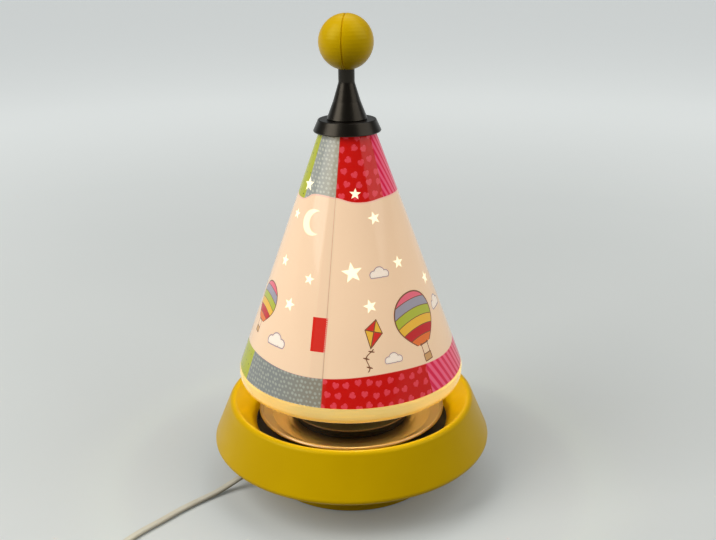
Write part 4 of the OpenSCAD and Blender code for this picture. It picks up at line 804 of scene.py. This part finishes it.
# Painted reflection: the grey cloth turns paler and warmer towards its right end.
painted_reflection_side = 1.0 - turn.under(-30.0, 16.0)
grey_cloth = mixed(tree, in_low, mixed(tree, painted_reflection_side, rgb(160, 168, 166), rgb(181, 181, 166)),
                   mixed(tree, painted_reflection_side, rgb(137, 145, 146), rgb(145, 144, 132)))
dot_grey = mixed(tree, in_low, rgb(196, 201, 192), rgb(170, 178, 170))
cloths = (
    (height.under(170.0, 1.0) * -7.0 - 59.0, mixed(tree, pale_dots, grey_cloth, dot_grey)),
    (SEAM_TURN, mixed(tree, hearts, rgb(210, 8, 6), rgb(236, 70, 88))),
    ((height - 227.0).max(0.0) * 0.17 + 43.4, mixed(tree, stripes, rgb(226, 30, 82), rgb(254, 102, 144))),
)
cloth = mixed(tree, specks, rgb(180, 190, 52), rgb(74, 86, 30))
for start, colour in cloths:
    cloth = mixed(tree, 1.0 - turn.under(start, 0.15), cloth, colour)
print("patches of cloth:", len(cloths) + 1)

# %% [markdown]
# Now the pictures are laid over the cream, each one as a row of numbers: turn and height of its centre,
# size and tilt. What is laid later covers what lies there already, as in printing.

# %% Balloons, clouds and a kite
BALLOONS = ((45, 145, 18.5, 5), (-70, 150, 14.5, -6))
CLOUDS = ((73, 145, 9.0, 0), (-48, 128, 9.5, 0), (23, 178, 7.5, 0), (24, 122, 7.0, 0))
KITE = (14, 142, 8.5, -16)
BELTS = (rgb(232, 122, 60), rgb(196, 40, 48), rgb(238, 190, 70), rgb(176, 190, 70), rgb(158, 158, 178),
         rgb(232, 112, 136))
ink = rgb(120, 84, 60)

def motif(group, spot):
    at_turn, at_height, size, tilt = (float(number) for number in spot)
    return placed(tree, group, Angle=angle, Slant=slant, At_Turn=at_turn, At_Height=at_height,
                  Size=size, Tilt=tilt)

def drawn(art, node, fill, line):
    art = mixed(tree, node.outputs["Mask"], art, fill)
    return mixed(tree, node.outputs["Line"], art, line)

art = CREAM
for spot in CLOUDS:
    art = drawn(art, motif(cloud_group, spot), rgb(255, 246, 236), rgb(170, 160, 168))
node = motif(kite_group, KITE)
art = drawn(art, node, mixed(tree, node.outputs["Half"], rgb(238, 190, 70), rgb(214, 50, 48)), ink)
for spot in BALLOONS:
    node = motif(balloon_group, spot)
    ramp = tree.nodes.new("ShaderNodeValToRGB")
    ramp.color_ramp.interpolation = "CONSTANT"
    for i, colour in enumerate(BELTS):
        stop = ramp.color_ramp.elements[i] if i < 2 else ramp.color_ramp.elements.new(i / len(BELTS))
        stop.position, stop.color = i / len(BELTS), colour
    feed(tree, ramp.inputs[0], node.outputs["Band"])
    art = drawn(art, node, mixed(tree, node.outputs["Basket"], ramp.outputs[0], rgb(206, 164, 112)), ink)
print("pictures on each half:", len(BALLOONS) + len(CLOUDS) + 1)

# %% [markdown]
# A small red tab of woven ribbon hangs at the seam, on the front only. It has fine ribs and one row of
# stitches, and it carries no writing.

# %% The red tab
TAB_TURN, TAB_HEIGHT, TAB_HALF_WIDE, TAB_HALF_HIGH = -18.9, 140.0, 5.4, 11.8
tab = motif(local_group, (TAB_TURN, TAB_HEIGHT, 1, 0))
tab_x, tab_y = Num(tree, tab.outputs["Across"]), Num(tree, tab.outputs["Up"])
on_tab = tab_x.abs().under(TAB_HALF_WIDE, 0.12) * tab_y.abs().under(TAB_HALF_HIGH, 0.12)
on_tab = on_tab * whole_turn.abs().under(90.0, 1.0)
stitch = (tab_x - 4.8).abs().under(0.28, 0.1) * ((tab_y / 1.5).fract() - 0.5).abs().under(0.26, 0.08) * on_tab
ribs = ((tab_y * 2.2).fract() - 0.5).abs() * 0.3
art = mixed(tree, on_tab, art, mixed(tree, ribs, rgb(222, 36, 28), rgb(186, 20, 18)))
art = mixed(tree, stitch, art, rgb(250, 214, 200))
print("tab in mm:", 2 * TAB_HALF_WIDE, "x", 2 * TAB_HALF_HIGH)

# %% [markdown]
# The stars and the moon are left unprinted, so the lamp's light comes through them. They are one mask,
# which is used twice: for the colour here and for the light further down.

# %% Stars and the moon
STARS = ((-57.0, 234.8, 5.4, 8), (8.0, 231.2, 4.1, -6), (26.2, 214.6, 4.8, 10), (-64.5, 213.6, 4.0, 0),
         (-61.4, 181.4, 4.6, 6), (-31.0, 174.6, 4.1, -8), (1.9, 180.7, 7.4, 8), (41.6, 183.2, 4.7, -4),
         (13.3, 158.5, 5.0, 12), (-43.8, 155.4, 5.0, -10), (70, 165, 5.0, 4))
MOON = (-37.3, 211.3, 9.2, -10)
shine = Num(tree, motif(moon_group, MOON).outputs["Mask"]) * 0.7
for spot in STARS:
    shine = Num(tree, motif(star_group, spot).outputs["Mask"]).max(shine)
print("stars on each half:", len(STARS))

# %% [markdown]
# Last come the marks of making: pale lines where the bands end and the seam with the doubled sheet beside
# it. Two painted shadows go with them: a soft one just right of the seam and a dark line along the sheet's
# foot. They are faint, but without them the sheet looks painted on.

# %% Putting the sheet together
# The sheet's foot, below this height, gets a dark painted shadow line.
FOOT_SHADOW_Z = 92.4
print_band = in_top.max(in_low)
low_line = (height - low_edge).abs().under(0.28, 0.2) * 0.3
edge_line = (height - top_edge).abs().under(0.5, 0.25).max(low_line)
seam = (whole_turn - SEAM_TURN).abs().under(0.3, 0.3) * (1.0 - on_tab)
# A soft painted shadow just right of the seam.
seam_shadow = (whole_turn - (SEAM_TURN + 1.1)).abs().under(0.5, 1.4)
doubled = whole_turn.between(-22.0, SEAM_TURN, 0.5)
art = mixed(tree, print_band, art, cloth)
for mask, colour in ((edge_line, rgb(250, 208, 190)), (seam * 0.55, rgb(150, 128, 104)),
                     (doubled * 0.06 + seam_shadow * 0.07, rgb(150, 130, 120)),
                     (height.under(FOOT_SHADOW_Z, 0.3) * 0.55, rgb(84, 30, 20)), (shine, rgb(255, 252, 226))):
    art = mixed(tree, mask, art, colour)
paper = noise(tree, object_point(tree), 0.5, 4.0, 0.6)
feed(tree, shader.inputs["Base Color"], mixed(tree, paper * 0.06, art, rgb(190, 150, 110)))
feed(tree, shader.inputs["Roughness"], paper * 0.08 + 0.26)
bumped(tree, shader, paper, 0.02)
print("nodes in the sheet:", len(tree.nodes))

# %% [markdown]
# The lamp's light comes through the sheet. It is strongest beside the bulb and fades towards the top, and
# it takes the print's own colour on its way. Through the unprinted stars it comes almost white. Real
# translucency would need many more samples, so the light is the sheet's own emission.

# %% Light through the sheet
BULB_Z, REACH = 170.0, 90.0
far = (height - BULB_Z) / REACH
cloudy = noise(tree, object_point(tree), 0.02, 2.0, 0.5)
through = (0.385 - far * far * 0.06) * (cloudy * 0.2 + 0.9)
through = through * (1.0 - print_band * 0.2) + shine * 0.6
tinted = mixed(tree, 1.0, art, rgb(252, 232, 206), "MULTIPLY")
feed(tree, shader.inputs["Emission Color"], scaled_colour(tree, tinted, through))
print("finishes:", sorted(finishes))

# %% [markdown]
# ## Dressing the parts
# The record names a finish for every CAD part, so one loop puts each material in its slot. The two pieces
# made here take theirs by name.

# %% Every part gets its finish
for part in frame["record"]["subparts"]:
    piece = frame["nodes"][part["node"]]
    piece.data.materials.clear()
    piece.data.materials.append(finishes[part["material_slot"]])
lead_cord.data.materials.append(finishes["cord_white"])
coil_strap.data.materials.append(finishes["tie_grey"])

# %% [markdown]
# ## Floor and light
# A plain pale sweep stands in for a studio table. It is a disc, curved up all round, so that no edge
# shows from any side. It gives its pale colour to what looks at it, directly or in a reflection, and less
# to the light that it throws back, which keeps the lamp's shadow.

# %% The floor
FLOOR_R, COVE_R, COVE_STEPS, FLOOR_DROP = 9.0, 2.0, 8, 0.0002
bm = bmesh.new()
bmesh.ops.create_circle(bm, cap_ends=True, radius=FLOOR_R, segments=96)
ring = list(bm.edges)
for step in range(1, COVE_STEPS + 1):
    lift = math.radians(step * 90 / COVE_STEPS)
    verts, ring = next_ring(bm, ring)
    for v in verts:
        wider = (FLOOR_R + COVE_R * math.sin(lift)) / v.co.xy.length
        v.co.x, v.co.y, v.co.z = v.co.x * wider, v.co.y * wider, COVE_R * (1 - math.cos(lift))
bmesh.ops.translate(bm, verts=bm.verts, vec=(0, 0, -FLOOR_DROP))
floor = new_piece("floor", bm)
tree, shader = new_finish("floor_paper", rgb(226, 230, 228), 0.75, Emission_Strength=1.0)
tone = noise(tree, object_point(tree), 0.004, 2.0, 0.4)
rays = tree.nodes.new("ShaderNodeLightPath")
camera_ray, glossy_ray, clear_ray = (
    Num(tree, rays.outputs[label]) for label in ("Is Camera Ray", "Is Glossy Ray", "Is Transmission Ray"))
looked_at = (camera_ray + glossy_ray + clear_ray).clamped()
paper = mixed(tree, tone, rgb(212, 216, 214), rgb(206, 211, 209))
feed(tree, shader.inputs["Base Color"], mixed(tree, looked_at, rgb(104, 105, 102), paper))
x, y, z = object_xyz(tree)
away = 1.0 - length(x, y).under(1000.0, 900.0)
lit = scaled_colour(tree, rgb(228, 232, 231), looked_at * (away * 0.56 + 0.1))
feed(tree, shader.inputs["Emission Color"], lit)
floor.data.materials.append(finishes["floor_paper"])
print("floor faces:", len(floor.data.polygons))

# %% [markdown]
# Two tall soft boxes stand left and right of the camera, where the ball and the glossy sheet of the
# photograph mirror them, and a third one behind parts the lamp from the floor. A warm lamp sits where the
# bulb's wire is. The world adds a little light from all sides.

# %% The lights
DAYLIGHT = (1.0, 0.98, 0.95)
BOXES = {  # azimuth, elevation, distance, width, height, power, colour
    "left_box": (-66, 41, 1.5, 1.0, 1.4, 17, DAYLIGHT),
    "right_box": (74, 44, 1.5, 1.3, 1.6, 10, DAYLIGHT),
    "top_box": (175, 68, 1.8, 1.2, 1.2, 5, (1.0, 0.98, 0.96)),
}
AIM, WIRE_AT = Vector((0, 0, 0.18)), Vector((0, 0, 0.128))

def new_light(name, kind, power, colour, at):
    light = bpy.data.lights.new(name, kind)
    light.energy, light.color = power, colour
    holder = bpy.data.objects.new(name, light)
    holder.location = at
    bpy.context.collection.objects.link(holder)
    return light, holder

for name, (azimuth, elevation, distance, wide, high, power, colour) in BOXES.items():
    a, e = math.radians(azimuth), math.radians(elevation)
    way = Vector((math.sin(a) * math.cos(e), -math.cos(a) * math.cos(e), math.sin(e)))
    light, holder = new_light(name, "AREA", power, colour, AIM + way * distance)
    light.shape, light.size, light.size_y = "RECTANGLE", wide, high
    holder.rotation_euler = way.to_track_quat("Z", "Y").to_euler()

light, holder = new_light("bulb_light", "POINT", 0.26, (0.82, 1.0, 0.6), WIRE_AT)
light.shadow_soft_size = 0.012

world = bpy.data.worlds.new("studio")
world.use_nodes = True
world.node_tree.nodes["Background"].inputs["Color"].default_value = (0.93, 0.97, 1.0, 1)
world.node_tree.nodes["Background"].inputs["Strength"].default_value = 0.13
bpy.context.scene.world = world
